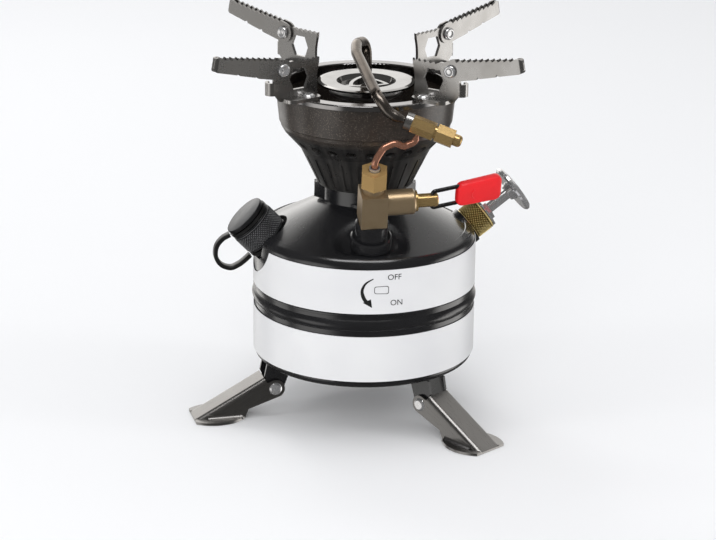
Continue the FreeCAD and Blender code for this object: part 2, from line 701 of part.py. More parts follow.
def make_pickup():
    """The fuel tube under the valve, hanging inside the tank."""
    place = valve_place()
    top = place.multVec(Vector(0, 0, -1))
    turn = place.multVec(Vector(0, 0, -s.boss_inside.value - 6))
    foot = Vector(turn.x, turn.y, s.pickup_end.value)
    made = bent_tube("pickup_tube", [top, turn, foot], [s.pickup_bend.value],
                     s.pickup_radius.value)
    node(made, "pickup_tube")
    strainer = cylinder("pickup_strainer", s.strainer_radius, s.strainer_tall,
                        Place(foot - Z * s.strainer_tall.value, Turn()))
    node(strainer, "pickup_strainer")


# Handle: a wire loop through the spindle's cross hole, with a soft sleeve.
def handle_place():
    swing = Place(Vector(s.cross_hole.value, 0, s.spindle_height.value),
                  Turn(Z, s.handle_swing.value))
    return valve_place().multiply(swing)


def loop_path():
    half = s.loop_half.value
    far = s.loop_long.value
    points = [Vector(0, 0, 0), Vector(0, 0, half), Vector(far, 0, half),
              Vector(far, 0, -half), Vector(0, 0, -half), Vector(0, 0, 0)]
    tight = s.wire_radius.value * 1.4
    wide = s.loop_round.value
    return bent_path(points, [tight, wide, wide, tight])


def make_handle():
    path = loop_path()
    wire = doc.addObject("Part::Feature", "Loop")
    wire.Shape = swept(path, s.wire_radius.value)
    wire.Placement = handle_place()
    node(wire, "handle_wire")
    body = new_body("grip_blank")
    sketch = new_sketch(body)
    near = s.grip_near
    far = s.grip_far
    bend = s.grip_bend
    start = s.grip_start
    end = s.grip_end
    points = [(start + bend, -near), (end - bend, -far), (end, bend - far),
              (end, far - bend), (end - bend, far), (start + bend, near),
              (start, near - bend), (start, bend - near)]
    draw(sketch, points, {1: bend, 3: bend, 5: bend, 7: bend})
    pad(body, sketch, s.grip_thick, both_ways=True)
    channel = doc.addObject("Part::Feature", "Channel")
    channel.Label = "grip_channel"
    channel.Shape = swept(path, s.wire_radius.value + s.seat_gap.value / 2)
    grip = cut("handle_grip", body, channel)
    grip.Placement = handle_place()
    node(grip, "handle_grip")


# Vaporiser, its fittings and the thin feed tube.
def inlet_point(radial):
    spot = Vector(radial, 0, s.port_height.value)
    return around_axis(s.inlet_turn.value).multVec(spot)


def vapour_points():
    return [Vector(5.9, -48.69, 146.3), Vector(-1.9, -45.0, 149.2),
            Vector(-6.3, -42.4, 155.5), Vector(-3.86, 2.59, 164.4),
            Vector(-1.34, 12.78, 166.2), Vector(6.73, 25.11, 164.3),
            inlet_point(s.inlet_bend.value), inlet_point(s.hub_half.value)]


def fitting_place():
    points = vapour_points()
    along = (points[0] - points[1]).normalize()
    return Place(points[0], Turn(Z, along))


def make_vaporiser():
    points = vapour_points()
    bend = s.tube_bend.value
    radii = [7, 7, 20, 16, bend, bend]
    made = bent_tube("vaporiser_tube", points, radii, s.tube_radius.value, s.tube_bore.value)
    node(made, "vaporiser_tube")
    place = fitting_place()
    gap = s.seat_gap
    flange = tube("vaporiser_flange", s.tube_radius + gap, s.tube_flange, -s.flange_thick / 2,
                  s.flange_thick / 2, place)
    node(flange, "vaporiser_flange")
    start = s.flange_thick / 2
    node(prism("vaporiser_nut", 6, s.fit_nut_flats, start, s.fit_nut_end, place=place,
               turn=nut_turn()), "vaporiser_nut")
    body = prism("cleaning_plug", 6, s.plug_flats, s.plug_start, s.plug_end, place=place,
                 turn=12)
    neck = new_sketch(body, "XY_Plane", s.fit_nut_end)
    draw_disc(neck, 0, 0, s.plug_neck)
    pad(body, neck, s.plug_start - s.fit_nut_end)
    tip = new_sketch(body)
    low = s.plug_end
    draw(tip, [(0, low), (2.6, low), (2.6, s.plug_tip - 1.4), (1.2, s.plug_tip),
               (0, s.plug_tip)], {2: 1.6})
    revolve(body, tip)
    node(body, "cleaning_plug")


def nut_turn():
    """The turn that puts one flat of the fitting's nut square to the feed tube."""
    place = fitting_place()
    down = place.inverse().Rotation.multVec(feed_direction())
    return math.degrees(math.atan2(down.y, down.x))


def feed_direction():
    along = fitting_place().Rotation.multVec(Z)
    down = -Z - along * (-Z).dot(along)
    return down.normalize()


def make_feed_tube():
    place = valve_place()
    fitting = fitting_place()
    nut_top = s.block_tall.value + s.male_long.value + s.feed_nut_long.value
    low = place.multVec(Vector(0, 0, s.block_tall.value + s.male_long.value + 0.3))
    rise = place.multVec(Vector(0, 0, nut_top + 4.6))
    entry = fitting.multVec(Vector(0, 0, 5.2)) + feed_direction() * s.fit_nut_flats.value / 2
    last = entry + feed_direction() * 3.9
    points = [low, rise, Vector(-5.73, -50.9, 136.2), Vector(-0.7, -51.0, 138.2),
              Vector(3.0, -51.0, 136.1), last, entry]
    bend = s.feed_bend.value
    made = bent_tube("feed_tube", points, [bend, bend, bend, bend, 2.4],
                     s.feed_radius.value)
    node(made, "feed_tube")


# Burner.
def make_burner_base():
    """A square plate on the crown, with walls turned up at its left and right corners."""
    body = new_body("burner_base_plate")
    crown = s.crown_height
    trim = s.plate_cut
    far = s.plate_corner - trim
    inner = s.collar_radius - s.collar_wall
    plan = [(far, -trim), (far, trim), (trim, far), (-trim, far), (-far, trim),
            (-far, -trim), (-trim, -far), (trim, -far)]
    plate = new_sketch(body, "XY_Plane", crown)
    draw(plate, plan)
    draw_disc(plate, 0, 0, inner)
    pad(body, plate, s.plate_thick)
    collar = new_sketch(body, "XY_Plane", crown)
    draw_disc(collar, 0, 0, s.collar_radius)
    draw_disc(collar, 0, 0, inner)
    pad(body, collar, s.bowl_low - crown)
    pieces = [body]
    tall = s.wall_tall
    long = s.wall_long
    inset = (s.plate_corner - s.plate_thick / math.sqrt(2)).value
    for azimuth, lean in ((0, 135), (0, -135), (180, 135), (180, -135)):
        wall = new_body("burner_wall")
        sketch = new_sketch(wall)
        draw(sketch, [(trim, 0), (long, 0), (long, tall * 0.2), (long * 0.8, tall * 0.7),
                      (trim + 2, tall), (trim, tall)])
        pad(wall, sketch, s.plate_thick, both_ways=True)
        corner = Place(Vector(inset, 0, crown.value), Turn(Z, lean))
        wall.Placement = around_axis(azimuth).multiply(corner)
        pieces.append(wall)
    whole = joined_shapes("burner_base", "MultiFuse", pieces)
    whole.Placement = around_axis(s.plate_turn.value)
    node(whole, "burner_base")


def bowl_outline():
    wall = s.bowl_wall
    low = s.bowl_low
    bore = s.mixer_radius + s.seat_gap
    outside = [(bore, low), (s.bowl_foot, low), (s.cone_radius, s.cone_top),
               (s.neck_ring_radius, s.neck_ring), (s.chamfer_radius, s.chamfer_top),
               (s.step_radius - 0.3, s.step_height - 1.6), (s.step_radius, s.step_height),
               (s.step_radius + 0.5, s.step_height + 0.5), (s.bowl_radius, s.bowl_top)]
    inside = [(s.bowl_radius - wall, s.bowl_top), (s.step_radius - wall, s.step_height),
              (s.chamfer_radius - wall, s.chamfer_top + 0.5),
              (s.neck_ring_radius - wall, s.neck_ring + 0.4),
              (s.cone_radius - wall, s.cone_top + 0.3), (s.bowl_foot - wall, low + wall),
              (bore, low + wall)]
    return outside + inside


def make_bowl():
    body = new_body("burner_bowl")
    sketch = new_sketch(body)
    draw(sketch, bowl_outline())
    revolve(body, sketch)
    cutter = new_sketch(body)
    low = s.bowl_low + 1.2
    high = s.cone_top - 0.8
    slope = (s.cone_radius - s.bowl_foot) / (s.cone_top - s.bowl_low)
    low_edge = s.bowl_foot + slope * 1.2 - s.flute_deep
    high_edge = s.cone_radius - slope * 0.8 - s.flute_deep
    draw(cutter, [(low_edge, low), (s.bowl_radius, low), (s.bowl_radius, high),
                  (high_edge, high)])
    flute = pocket(body, cutter, s.flute_wide, both_ways=True)
    repeat_round(body, flute, s.cone_flutes)
    mid_radius = (s.neck_ring_radius.value + s.chamfer_radius.value) / 2
    mid_height = (s.neck_ring.value + s.chamfer_top.value) / 2
    fall = math.degrees(math.atan2(s.chamfer_radius.value - s.neck_ring_radius.value,
                                   s.chamfer_top.value - s.neck_ring.value))
    spot = Place(Vector(mid_radius, 0, mid_height), Turn(Y, 90 + fall))
    spot = around_axis(s.hole_turn.value).multiply(spot)
    hole = new_sketch(body, "XY_Plane", place=spot)
    draw_disc(hole, 0, 0, s.air_hole_radius)
    drilled = pocket(body, hole, s.bowl_wall * 6, both_ways=True)
    repeat_round(body, drilled, s.air_holes)
    body.Placement = around_axis(s.flute_turn.value)
    node(body, "burner_bowl")


def make_rim():
    outer = s.ring_outer
    inner = s.ring_inner
    top = s.ring_top
    thin = s.ring_sheet
    soft = 0.6
    under = top - thin
    points = [(outer - thin, s.skirt_low), (outer, s.skirt_low), (outer, top - soft),
              (outer - soft, top), (inner + soft, top), (inner, top - soft),
              (inner, s.lip_low), (inner + thin, s.lip_low), (inner + thin, under),
              (outer - thin, under)]
    body = turned("rim_ring", points, {2: soft, 4: soft})
    for number, azimuth in enumerate(SUPPORT_TURNS):
        spot = support_rivet(azimuth, SUPPORT_SIDES[number])
        hole = new_sketch(body, "XY_Plane", s.ring_top)
        draw_disc(hole, spot.x, spot.y, s.rivet_radius + s.shaft_gap)
        pocket(body, hole, s.ring_sheet * 2)
    node(body, "rim_ring")


def make_burner_inside():
    low = s.crown_height
    mixer = tube("mixing_tube", s.mixer_radius - s.mixer_wall, s.mixer_radius,
                 low, s.mixer_top)
    port = new_sketch(mixer, "XZ_Plane")
    draw_disc(port, 0, s.port_height, s.port_radius)
    through = pocket(mixer, port, 40, both_ways=True)
    repeat_round(mixer, through, 2)
    side = new_sketch(mixer, "YZ_Plane")
    draw_disc(side, 0, s.port_height, s.port_radius)
    pocket(mixer, side, 40, both_ways=True)
    mixer.Placement = around_axis(s.inlet_turn.value)
    node(mixer, "mixing_tube")
    hub = prism("jet_hub", 4, s.hub_half * 2, low, s.hub_top, turn=0)
    hub.Placement = around_axis(s.inlet_turn.value)
    node(hub, "jet_hub")
    jet = [(s.jet_bore, s.hub_top), (s.jet_radius, s.hub_top), (s.jet_radius, s.jet_top - 1),
           (s.jet_radius - 1.2, s.jet_top), (s.jet_bore, s.jet_top)]
    node(turned("jet", jet), "jet")
    bowl_floor = s.bowl_low + s.bowl_wall
    node(tube("priming_wick", s.wick_inner, s.wick_outer, bowl_floor, s.wick_top),
         "priming_wick")
    thin = s.cap_sheet
    base = s.mixer_top
    edge = s.spreader_radius
    post_top = s.cap_recess_top - thin
    dish = [(0, base), (edge - 3, base), (edge, s.spreader_top - 1),
            (edge, s.spreader_top), (edge - thin, s.spreader_top),
            (edge - 3.4, base + thin), (s.post_radius, base + thin),
            (s.post_radius, post_top), (0, post_top)]
    node(turned("burner_spreader", dish), "burner_spreader")
    top = s.cap_edge_top
    well = s.cap_recess
    rim = s.cap_edge
    floor = s.cap_recess_top
    cap = [(0, floor - thin), (well, floor - thin), (well + 1.2, top - thin - 0.5),
           (rim - 1.4, top - thin - 0.3), (rim, top - thin), (rim, top),
           (rim - 1.5, top + 0.3), (well + 0.6, top), (well - 0.4, floor), (0, floor)]
    blank = turned("burner_cap_blank", cap)
    rib = new_body("burner_cap_rib")
    sketch = new_sketch(rib, "XY_Plane", floor)
    reach = s.cap_recess - 2.0
    outer = []
    inner = []
    for corner in range(3):
        angle = math.radians(90 + 120 * corner)
        outer.append((reach * math.cos(angle), reach * math.sin(angle)))
        inner.append(((reach - 2.4) * math.cos(angle), (reach - 2.4) * math.sin(angle)))
    draw(sketch, outer, {corner: reach * 2.4 for corner in range(3)})
    draw(sketch, inner, {corner: reach * 1.9 for corner in range(3)})
    pad(rib, sketch, s.rib_tall)
    node(joined_shapes("burner_cap", "MultiFuse", [blank, rib]), "burner_cap")


# Pot supports: rear right, rear left, front left, front right.
SUPPORT_TURNS = (30, 120, 210, 300)
SUPPORT_SWINGS = (0, 4, -8, 12)
SUPPORT_SIDES = (-1, 1, 1, -1)
SUPPORT_NAMES = ("rear_right", "rear_left", "front_left", "front_right")


def support_rivet(azimuth, side):
    local = Vector(s.support_radial.value, side * s.rivet_side.value, 0)
    return around_axis(azimuth).multVec(local)


def support_place(azimuth, side, swing):
    """Local origin at the plate's plane beside the swivel rivet, local X outward."""
    rivet = Place(support_rivet(azimuth, side), Turn(Z, azimuth + swing))
    return rivet.multiply(Place(Vector(0, -side * s.rivet_side.value, 0), Turn()))


def toothed_edge(first, last, count, deep):
    """Points of a saw edge from first to last, dipping by deep."""
    run = last - first
    down = Vector(run.y, -run.x, 0).normalize()
    points = []
    for number in range(count):
        points.append(first + run * (number / count))
        points.append(first + run * ((number + 0.8) / count) + down * deep)
    points.append(last)
    return points


def plate_outline():
    """A support's plate from its side, with the toothed top and the waisted inner edge."""
    low = s.ring_top
    top = s.support_top
    back = -s.support_back
    front = s.support_front
    saw = toothed_edge(Vector(6, top.value, 0), Vector(back.value, top.value, 0), 5,
                       -s.tooth_deep.value)
    points = [(back + 0.5, low), (front - 3.2, low), (front + 0.2, low + 4.4),
              (front, low + 9.4), (front - 0.6, s.arm_rivet_z + 1.2), (front - 3.4, top - 0.3)]
    points += [(spot.x, top - (top.value - spot.y)) for spot in saw]
    return points + [(back + 0.2, top - 2.4)]


def make_support(name, azimuth, side, swing):
    body = new_body("support_" + name)
    half = s.support_sheet / 2
    low = s.ring_top
    sketch = new_sketch(body)
    outline = plate_outline()
    draw(sketch, outline, {len(outline) - 1: -s.waist_round})
    window = [(s.window_x + s.window_wide * across, s.window_z + s.window_tall * up)
              for across, up in ((-0.32, -0.5), (0.3, -0.5), (0.5, 0), (0.32, 0.5),
                                 (-0.3, 0.5), (-0.5, 0))]
    draw(sketch, window)
    pad(body, sketch, s.support_sheet, both_ways=True)
    foot = new_sketch(body, "XY_Plane", low)
    reach = s.foot_side * side
    near = half * -side
    bend = s.foot_bend
    lobe = [(-s.foot_back, near), (s.foot_reach, near), (s.foot_reach, reach - bend * side),
            (s.foot_reach - bend, reach), (bend - s.foot_back, reach),
            (-s.foot_back, reach - bend * side)]
    draw(foot, lobe, {2: bend * side, 4: bend * side})
    draw_disc(foot, 0, side * s.rivet_side, s.rivet_radius + s.shaft_gap)
    pad(body, foot, s.support_sheet)
    hook = new_sketch(body, "XY_Plane", s.hook_low)
    outer = s.hook_radius
    inner = outer - s.support_sheet * 0.8
    start = s.support_front - 0.8
    middle = -side * (outer - half)
    draw(hook, [(start, middle - outer), (start, middle + outer), (start, middle + inner),
                (start, middle - inner)], {0: outer, 2: -inner})
    pad(body, hook, s.hook_high - s.hook_low)
    cheek = half + s.side_gap + s.arm_sheet + s.side_gap
    pin = new_sketch(body)
    draw_disc(pin, s.arm_rivet_x, s.arm_rivet_z, s.rivet_radius)
    pad(body, pin, cheek * 2, both_ways=True)
    for face in (1, -1):
        head = new_sketch(body, offset=cheek * face)
        draw_disc(head, s.arm_rivet_x, s.arm_rivet_z, s.arm_head)
        pad(body, head, s.rivet_head_tall, reverse=face < 0)
    body.Placement = support_place(azimuth, side, swing)
    node(body, "support_" + name)


def make_arm(name, azimuth, side, swing):
    """The folding arm, a strip bent double over its plate; its X runs from rivet to tip."""
    body = new_body("arm_" + name)
    inner = s.support_sheet / 2 + s.side_gap
    outer = inner + s.arm_sheet
    boss = s.arm_boss
    end = s.arm_end
    tip = s.arm_long
    strip = new_sketch(body, "XY_Plane")
    draw(strip, [(-boss, -outer), (tip - outer, -outer), (tip - outer, outer), (-boss, outer),
                 (-boss, inner), (tip - outer, inner), (tip - outer, -inner),
                 (-boss, -inner)], {1: outer, 5: -inner})
    pad(body, strip, boss * 3, both_ways=True)
    saw = toothed_edge(Vector(tip.value - 3.2, end.value, 0), Vector(3.0, boss.value, 0),
                       int(s.arm_teeth.value), -s.tooth_deep.value)
    deep = s.notch_deep
    points = [(0, -boss), (12.2, 0.2 - boss), (13.0, 0.2 - boss + deep), (14.0, 0.5 - boss),
              (21.8, 0.8 - boss), (22.6, 0.8 - boss + deep), (23.6, 1.0 - boss),
              (tip - 2.4, -end), (tip, 2.4 - end), (tip, end - 1.8), (tip - 1.8, end)]
    points += [(spot.x, spot.y) for spot in saw]
    points.append((0, boss))
    blade = new_sketch(body)
    draw(blade, points, {7: 2.4, 9: 1.8, len(points) - 1: boss})
    far = boss * 2
    draw(blade, [(-far, -far), (tip + boss, -far), (tip + boss, far), (-far, far)])
    pocket(body, blade, outer * 4, both_ways=True)
    bore = new_sketch(body)
    draw_disc(bore, 0, 0, s.rivet_radius + s.shaft_gap)
    pocket(body, bore, outer * 4, both_ways=True)
    lift = Place(Vector(s.arm_rivet_x.value, 0, s.arm_rivet_z.value),
                 Turn(Y, -s.arm_tilt.value))
    body.Placement = support_place(azimuth, side, swing).multiply(lift)
    node(body, "arm_" + name)


def make_supports():
    rivets = []
    for number, azimuth in enumerate(SUPPORT_TURNS):
        side = SUPPORT_SIDES[number]
        swing = SUPPORT_SWINGS[number]
        name = SUPPORT_NAMES[number]
        make_support(name, azimuth, side, swing)
        make_arm(name, azimuth, side, swing)
        spot = support_rivet(azimuth, side)
        low = s.ring_top - s.ring_sheet
        top = s.ring_top + s.support_sheet
        outline = [(0, low), (s.rivet_radius, low), (s.rivet_radius, top),
                   (s.rivet_head, top), (s.rivet_head - 1.2, top + s.rivet_head_tall),
                   (0, top + s.rivet_head_tall)]
        rivets.append(turned("swivel_rivet", outline, {3: 2.0}, Place(spot, Turn())))
    node(joined_shapes("swivel_rivets", "Compound", rivets), "swivel_rivets")


# Legs: pressed channels that fold inward on pins under the tank.
LEG_TURNS = (60, 180, 300)
LEG_NAMES = ("rear", "left", "front")


def leg_place(azimuth):
    """Local X runs down the leg's web to the toe, local Y is the pin."""
    lean = Place(Vector(s.leg_radial.value, 0, s.leg_height.value),
                 Turn(Y, s.leg_slope.value))
    return around_axis(azimuth).multiply(lean)


def on_leg(out, height):
    """A point given outward from the pin and above the ground, in the leg's own X and Z."""
    slope = math.radians(s.leg_slope.value)
    drop = s.leg_height - height
    return (drop * math.sin(slope) + out * math.cos(slope),
            out * math.sin(slope) - drop * math.cos(slope))


def make_leg(name, azimuth):
    """A pressed channel, open below, cut to shape from its side and turned out at the sole."""
    body = new_body("leg_" + name)
    thin = s.leg_sheet
    half = s.leg_half
    corner = s.leg_corner
    high = s.web_high
    start = s.web_start
    cheek = s.cheek_round
    deep = -s.leg_height
    back = -cheek - 1
    channel = new_sketch(body, "YZ_Plane", back)
    draw(channel, [(-half, deep), (thin - half, deep), (thin - half, high - corner),
                   (corner - half, high - thin), (half - corner, high - thin),
                   (half - thin, high - corner), (half - thin, deep), (half, deep),
                   (half, high - corner), (half - corner, high), (corner - half, high),
                   (-half, high - corner)],
         {2: thin - corner, 4: thin - corner, 8: corner, 10: corner})
    toe = on_leg(s.toe_out, 0)
    pad(body, channel, toe[0] - back + 1)
    side_view = new_sketch(body)
    draw(side_view, [(0, -cheek), on_leg(s.knee_out, s.knee_high), on_leg(s.sole_start, 0),
                     toe, on_leg(s.toe_out, 3), (start, high + 1), (start, high - corner),
                     (start - 0.9, cheek + 0.2), (0, cheek)], {8: cheek})
    frame = high * 4
    draw(side_view, [(-frame, -frame), (frame * 2, -frame), (frame * 2, frame),
                     (-frame, frame)])
    pocket(body, side_view, half * 4, both_ways=True)
    add_sole(body)
    bore = new_sketch(body)
    draw_disc(bore, 0, 0, s.pin_radius + s.shaft_gap)
    pocket(body, bore, half * 4, both_ways=True)
    body.Placement = leg_place(azimuth)
    node(body, "leg_" + name)


def add_sole(body):
    """Flanges that lie on the ground along both cheeks, with the bend above them."""
    thin = s.leg_sheet
    half = s.leg_half
    slope = -s.leg_slope.value
    x, z = on_leg(0, 0)
    ground = Place(Vector(x.value, 0, z.value), Turn(Y, slope))
    sole = new_sketch(body, "XY_Plane", place=ground)
    bend = s.sole_fillet
    x, z = on_leg(s.sole_start + 1, 0)
    upright = Place(Vector(0, z.value, x.value), Turn(X, slope))
    fillet = new_sketch(body, "YZ_Plane", place=upright)
    for side in (1, -1):
        inner = (half - thin) * side
        draw(sole, [(s.sole_start, inner), (s.toe_out, inner),
                    (s.toe_out, (half + s.toe_wide) * side), (s.sole_start, half * side)],
             {2: s.sole_round * side})
        face = (half - thin / 2) * side
        skin = half * side
        draw(fillet, [(face, thin / 2), (skin + bend * side, thin / 2),
                      (skin + bend * side, thin), (skin, thin + bend), (face, thin + bend)],
             {2: -bend * side})
    pad(body, sole, thin)
    pad(body, fillet, (s.toe_out - s.sole_start) * 0.7)


def make_bracket(name, azimuth):
    body = new_body("bracket_" + name)
    sketch = new_sketch(body)
    top = s.base_height
    back = s.bracket_back
    front = s.bracket_front
    reach = s.cheek_round - 0.2
    pivot = s.leg_radial
    height = s.leg_height
    profile = [(back, top), (back, top - 4), (pivot - reach, height),
               (pivot + reach, height), (pivot + 3.4, top - 11.7), (pivot + 4.9, top - 8.7),
               (pivot + 3.7, top - 2.9), (front, top - 2.5), (front, top)]
    draw(sketch, profile, {2: reach})
    half = s.bracket_half
    pad(body, sketch, half * 2, both_ways=True)
    hollow = new_sketch(body)
    thin = s.leg_sheet
    draw(hollow, [(back - 3, top - thin), (back - 3, 0), (pivot + reach * 4, 0),
                  (pivot + reach * 4, top - thin)])
    pocket(body, hollow, (half - thin) * 2, both_ways=True)
    bore = new_sketch(body)
    draw_disc(bore, pivot, height, s.pin_radius + s.shaft_gap)
    pocket(body, bore, half * 4, both_ways=True)
    body.Placement = around_axis(azimuth)
    node(body, "bracket_" + name)


def make_legs():
    pins = []
    for name, azimuth in zip(LEG_NAMES, LEG_TURNS):
        make_leg(name, azimuth)
        make_bracket(name, azimuth)
        far = s.leg_half
        tall = s.pin_head_tall
        outline = [(0, -far - tall), (s.pin_head - 1, -far - tall), (s.pin_head, -far),
                   (s.pin_radius, -far), (s.pin_radius, far), (s.pin_head, far),
                   (s.pin_head - 1, far + tall), (0, far + tall)]
        axis = Place(Vector(s.leg_radial.value, 0, s.leg_height.value), Turn(X, 90))
        place = around_axis(azimuth).multiply(axis)
        pins.append(turned("leg_pin", outline, {1: 1.6, 5: 1.6}, place))
    node(joined_shapes("leg_pins", "Compound", pins), "leg_pins")


make_lower_shell()
make_upper_shell()
make_labels()
make_filler()
make_strap()
make_pump()
make_valve_boss()
make_valve_block()
make_valve_fittings()
make_spindle()
make_pickup()
make_handle()
make_vaporiser()
make_feed_tube()
make_burner_base()
make_bowl()
make_rim()
make_burner_inside()
make_supports()
make_legs()
doc.recompute()

# Every object must have been made, and every piece must be a sound solid.
failed = [item for item in doc.Objects if "Invalid" in item.State or "Error" in item.State]
for item in failed:
    owners = [owner.Label for owner in item.InListRecursive]
    print("Not made:", item.Label, item.State, owners[:4])
if failed:
    raise ValueError("%d objects were not made" % len(failed))
for piece in nodes:
    if piece.Shape.isNull() or not piece.Shape.isValid() or not piece.Shape.Solids:
        raise ValueError(piece.Label + " is not a sound solid")
for piece in nodes:
    piece.Shape.exportStep("parts/%s.step" % piece.Label)
print(len(nodes), "pieces")
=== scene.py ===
import json
import math

import bmesh
import bpy
from mathutils import Matrix, Vector


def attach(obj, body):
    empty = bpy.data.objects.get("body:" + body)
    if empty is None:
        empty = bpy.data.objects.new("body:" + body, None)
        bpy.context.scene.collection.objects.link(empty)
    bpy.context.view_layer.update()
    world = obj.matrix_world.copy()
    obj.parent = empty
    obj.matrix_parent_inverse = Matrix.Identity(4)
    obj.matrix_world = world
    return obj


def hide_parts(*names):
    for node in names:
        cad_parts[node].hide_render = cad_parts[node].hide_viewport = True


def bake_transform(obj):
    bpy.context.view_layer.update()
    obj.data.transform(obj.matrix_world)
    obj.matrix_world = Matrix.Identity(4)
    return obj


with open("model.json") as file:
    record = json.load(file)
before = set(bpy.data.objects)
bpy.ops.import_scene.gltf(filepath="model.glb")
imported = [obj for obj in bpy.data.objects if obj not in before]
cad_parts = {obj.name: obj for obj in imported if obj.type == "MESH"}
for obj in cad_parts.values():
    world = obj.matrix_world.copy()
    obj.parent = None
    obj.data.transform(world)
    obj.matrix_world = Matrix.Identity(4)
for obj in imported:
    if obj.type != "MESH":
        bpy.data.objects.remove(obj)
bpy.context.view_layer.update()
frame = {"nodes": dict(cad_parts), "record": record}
NODES = frame["nodes"]
MM = 0.001

# Lengths of the stove are in millimetres, angles in degrees.
FILLER_TURN = 175.0
SWIVEL_RADIUS = 38.5   # the supports' rivets, from the tank's axis
SWIVEL_OFFSET = 3.5    # and beside their plates
CREASE = 35.0          # a bend sharper than this shows as an edge
SOFT_CREASE = 60.0


# Frames of the parts.
def around(azimuth):
    return Matrix.Rotation(math.radians(azimuth), 4, "Z")


def leaned(angle, axis):
    return Matrix.Rotation(math.radians(angle), 4, axis)


def shifted(x, y, z):
    return Matrix.Translation((x, y, z))


def outward(azimuth, tilt, radial, height):
    """Local Z points away from the tank's axis, tilted up from the level."""
    return around(azimuth) @ (shifted(radial, 0, height) @ leaned(90 - tilt, "Y"))


def support_frame(azimuth, side, swing):
    """A pot support at an azimuth, swung about its rivet in the rim."""
    rivet = around(azimuth) @ Vector((SWIVEL_RADIUS, side * SWIVEL_OFFSET, 0))
    return (Matrix.Translation(rivet) @ around(azimuth + swing)
            @ shifted(0, -side * SWIVEL_OFFSET, 0))


WORLD = Matrix.Identity(4)
FILLER = outward(FILLER_TURN, 46.0, 44.7, 82.6)
PUMP = outward(3.0, 35.0, 49.0, 81.4)
VALVE = shifted(-7.92, -41.36, 100.9) @ around(-10.0) @ leaned(20.0, "X") @ around(5.0)
HANDLE = VALVE @ shifted(26.0, 0, 9.3) @ around(12.5)
LEGS = {name: around(turn) @ shifted(42.5, 0, 13.1) @ leaned(28.6, "Y")
        for name, turn in (("leg_left", 180.0), ("leg_front", 300.0), ("leg_rear", 60.0))}
SUPPORTS = {"rear_right": support_frame(30, -1, 0), "rear_left": support_frame(120, 1, 4),
            "front_left": support_frame(210, 1, -8), "front_right": support_frame(300, -1, 12)}


# Shader nodes.
class Tree:
    """Short names for the nodes that the materials and the world are made of."""

    def __init__(self, tree):
        self.tree = tree

    def feed(self, socket, value):
        if isinstance(value, bpy.types.NodeSocket):
            self.tree.links.new(value, socket)
        else:
            socket.default_value = value

    def node(self, kind, **inputs):
        made = self.tree.nodes.new(kind)
        for key, value in inputs.items():
            self.feed(made.inputs[key.replace("_", " ")], value)
        return made

    def fed(self, made, values):
        """A node with its first inputs set in their order."""
        for number, value in enumerate(values):
            self.feed(made.inputs[number], value)
        return made

    def math(self, work, *values):
        made = self.node("ShaderNodeMath")
        made.operation = work
        return self.fed(made, values).outputs[0]

    def times(self, first, second):
        return self.math("MULTIPLY", first, second)

    def plus(self, first, second):
        return self.math("ADD", first, second)

    def vector(self, work, *values):
        made = self.node("ShaderNodeVectorMath")
        made.operation = work
        return self.fed(made, values).outputs["Value" if work == "DOT_PRODUCT" else "Vector"]

    def span(self, value, low, high, start=0.0, end=1.0, smooth=False):
        """The range from low to high, taken to the range from start to end."""
        made = self.node("ShaderNodeMapRange")
        if smooth:
            made.interpolation_type = "SMOOTHSTEP"
        return self.fed(made, (value, low, high, start, end)).outputs[0]

    def place(self, space="Object"):
        return self.node("ShaderNodeTexCoord").outputs[space]


class Look(Tree):
    """A material. Keywords set its shader's sockets; bump distances are in metres."""

    def __init__(self, name, **sockets):
        self.material = bpy.data.materials.new(name)
        self.material.use_nodes = True
        super().__init__(self.material.node_tree)
        self.shader = self.tree.nodes["Principled BSDF"]
        for socket, value in sockets.items():
            self.set(socket.replace("_", " "), value)

    def set(self, socket, value):
        if isinstance(value, tuple):
            value = (*value, 1.0)
        self.feed(self.shader.inputs[socket], value)

    def local(self, matrix):
        """The three coordinates of a point in a part's own frame, in millimetres."""
        back = self.vector("SUBTRACT", self.place(), tuple(matrix.translation * MM))
        axes = matrix.to_3x3().col
        return [self.vector("DOT_PRODUCT", back, tuple(axis / MM)) for axis in axes]

    def around(self, matrix):
        """Turn in radians, distance from the axis and height, in a part's own frame."""
        x, y, z = self.local(matrix)
        turn = self.math("ARCTAN2", y, x)
        radius = self.math("SQRT", self.plus(self.times(x, x), self.times(y, y)))
        return turn, radius, z

    def joined(self, x, y, z):
        return self.node("ShaderNodeCombineXYZ", X=x, Y=y, Z=z).outputs[0]

    def stretched(self, x, y, z):
        return self.vector("MULTIPLY", self.place(), (x, y, z))

    def noise(self, scale, detail=3.0, vector=None, roughness=0.55):
        if vector is None:
            vector = self.place()
        return self.node("ShaderNodeTexNoise", Scale=scale, Detail=detail, Roughness=roughness,
                         Vector=vector).outputs[0]

    def cells(self, scale, output):
        made = self.node("ShaderNodeTexVoronoi", Scale=scale, Vector=self.place())
        return made.outputs[output]

    def mix(self, share, first, second):
        made = self.node("ShaderNodeMix")
        made.data_type = "RGBA"
        for socket, value in (("Factor_Float", share), ("A_Color", first), ("B_Color", second)):
            target = next(item for item in made.inputs if item.identifier == socket)
            self.feed(target, (*value, 1.0) if isinstance(value, tuple) else value)
        return next(item for item in made.outputs if item.identifier == "Result_Color")

    def shade(self, pattern, low, high, first, second):
        """Two tones, the first where a pattern is below low, the second above high."""
        return self.mix(self.span(pattern, low, high), first, second)

    def paint(self, pattern, low, high, first, second):
        self.set("Base Color", self.shade(pattern, low, high, first, second))

    def roughen(self, pattern, rough, low=0.3, high=0.7):
        self.set("Roughness", self.span(pattern, low, high, *rough))

    def bump(self, height, strength, distance):
        made = self.node("ShaderNodeBump", Height=height, Strength=strength, Distance=distance)
        self.set("Normal", made.outputs[0])


def scaled(tint, share, lift=0.0):
    return tuple(part * share + lift for part in tint)


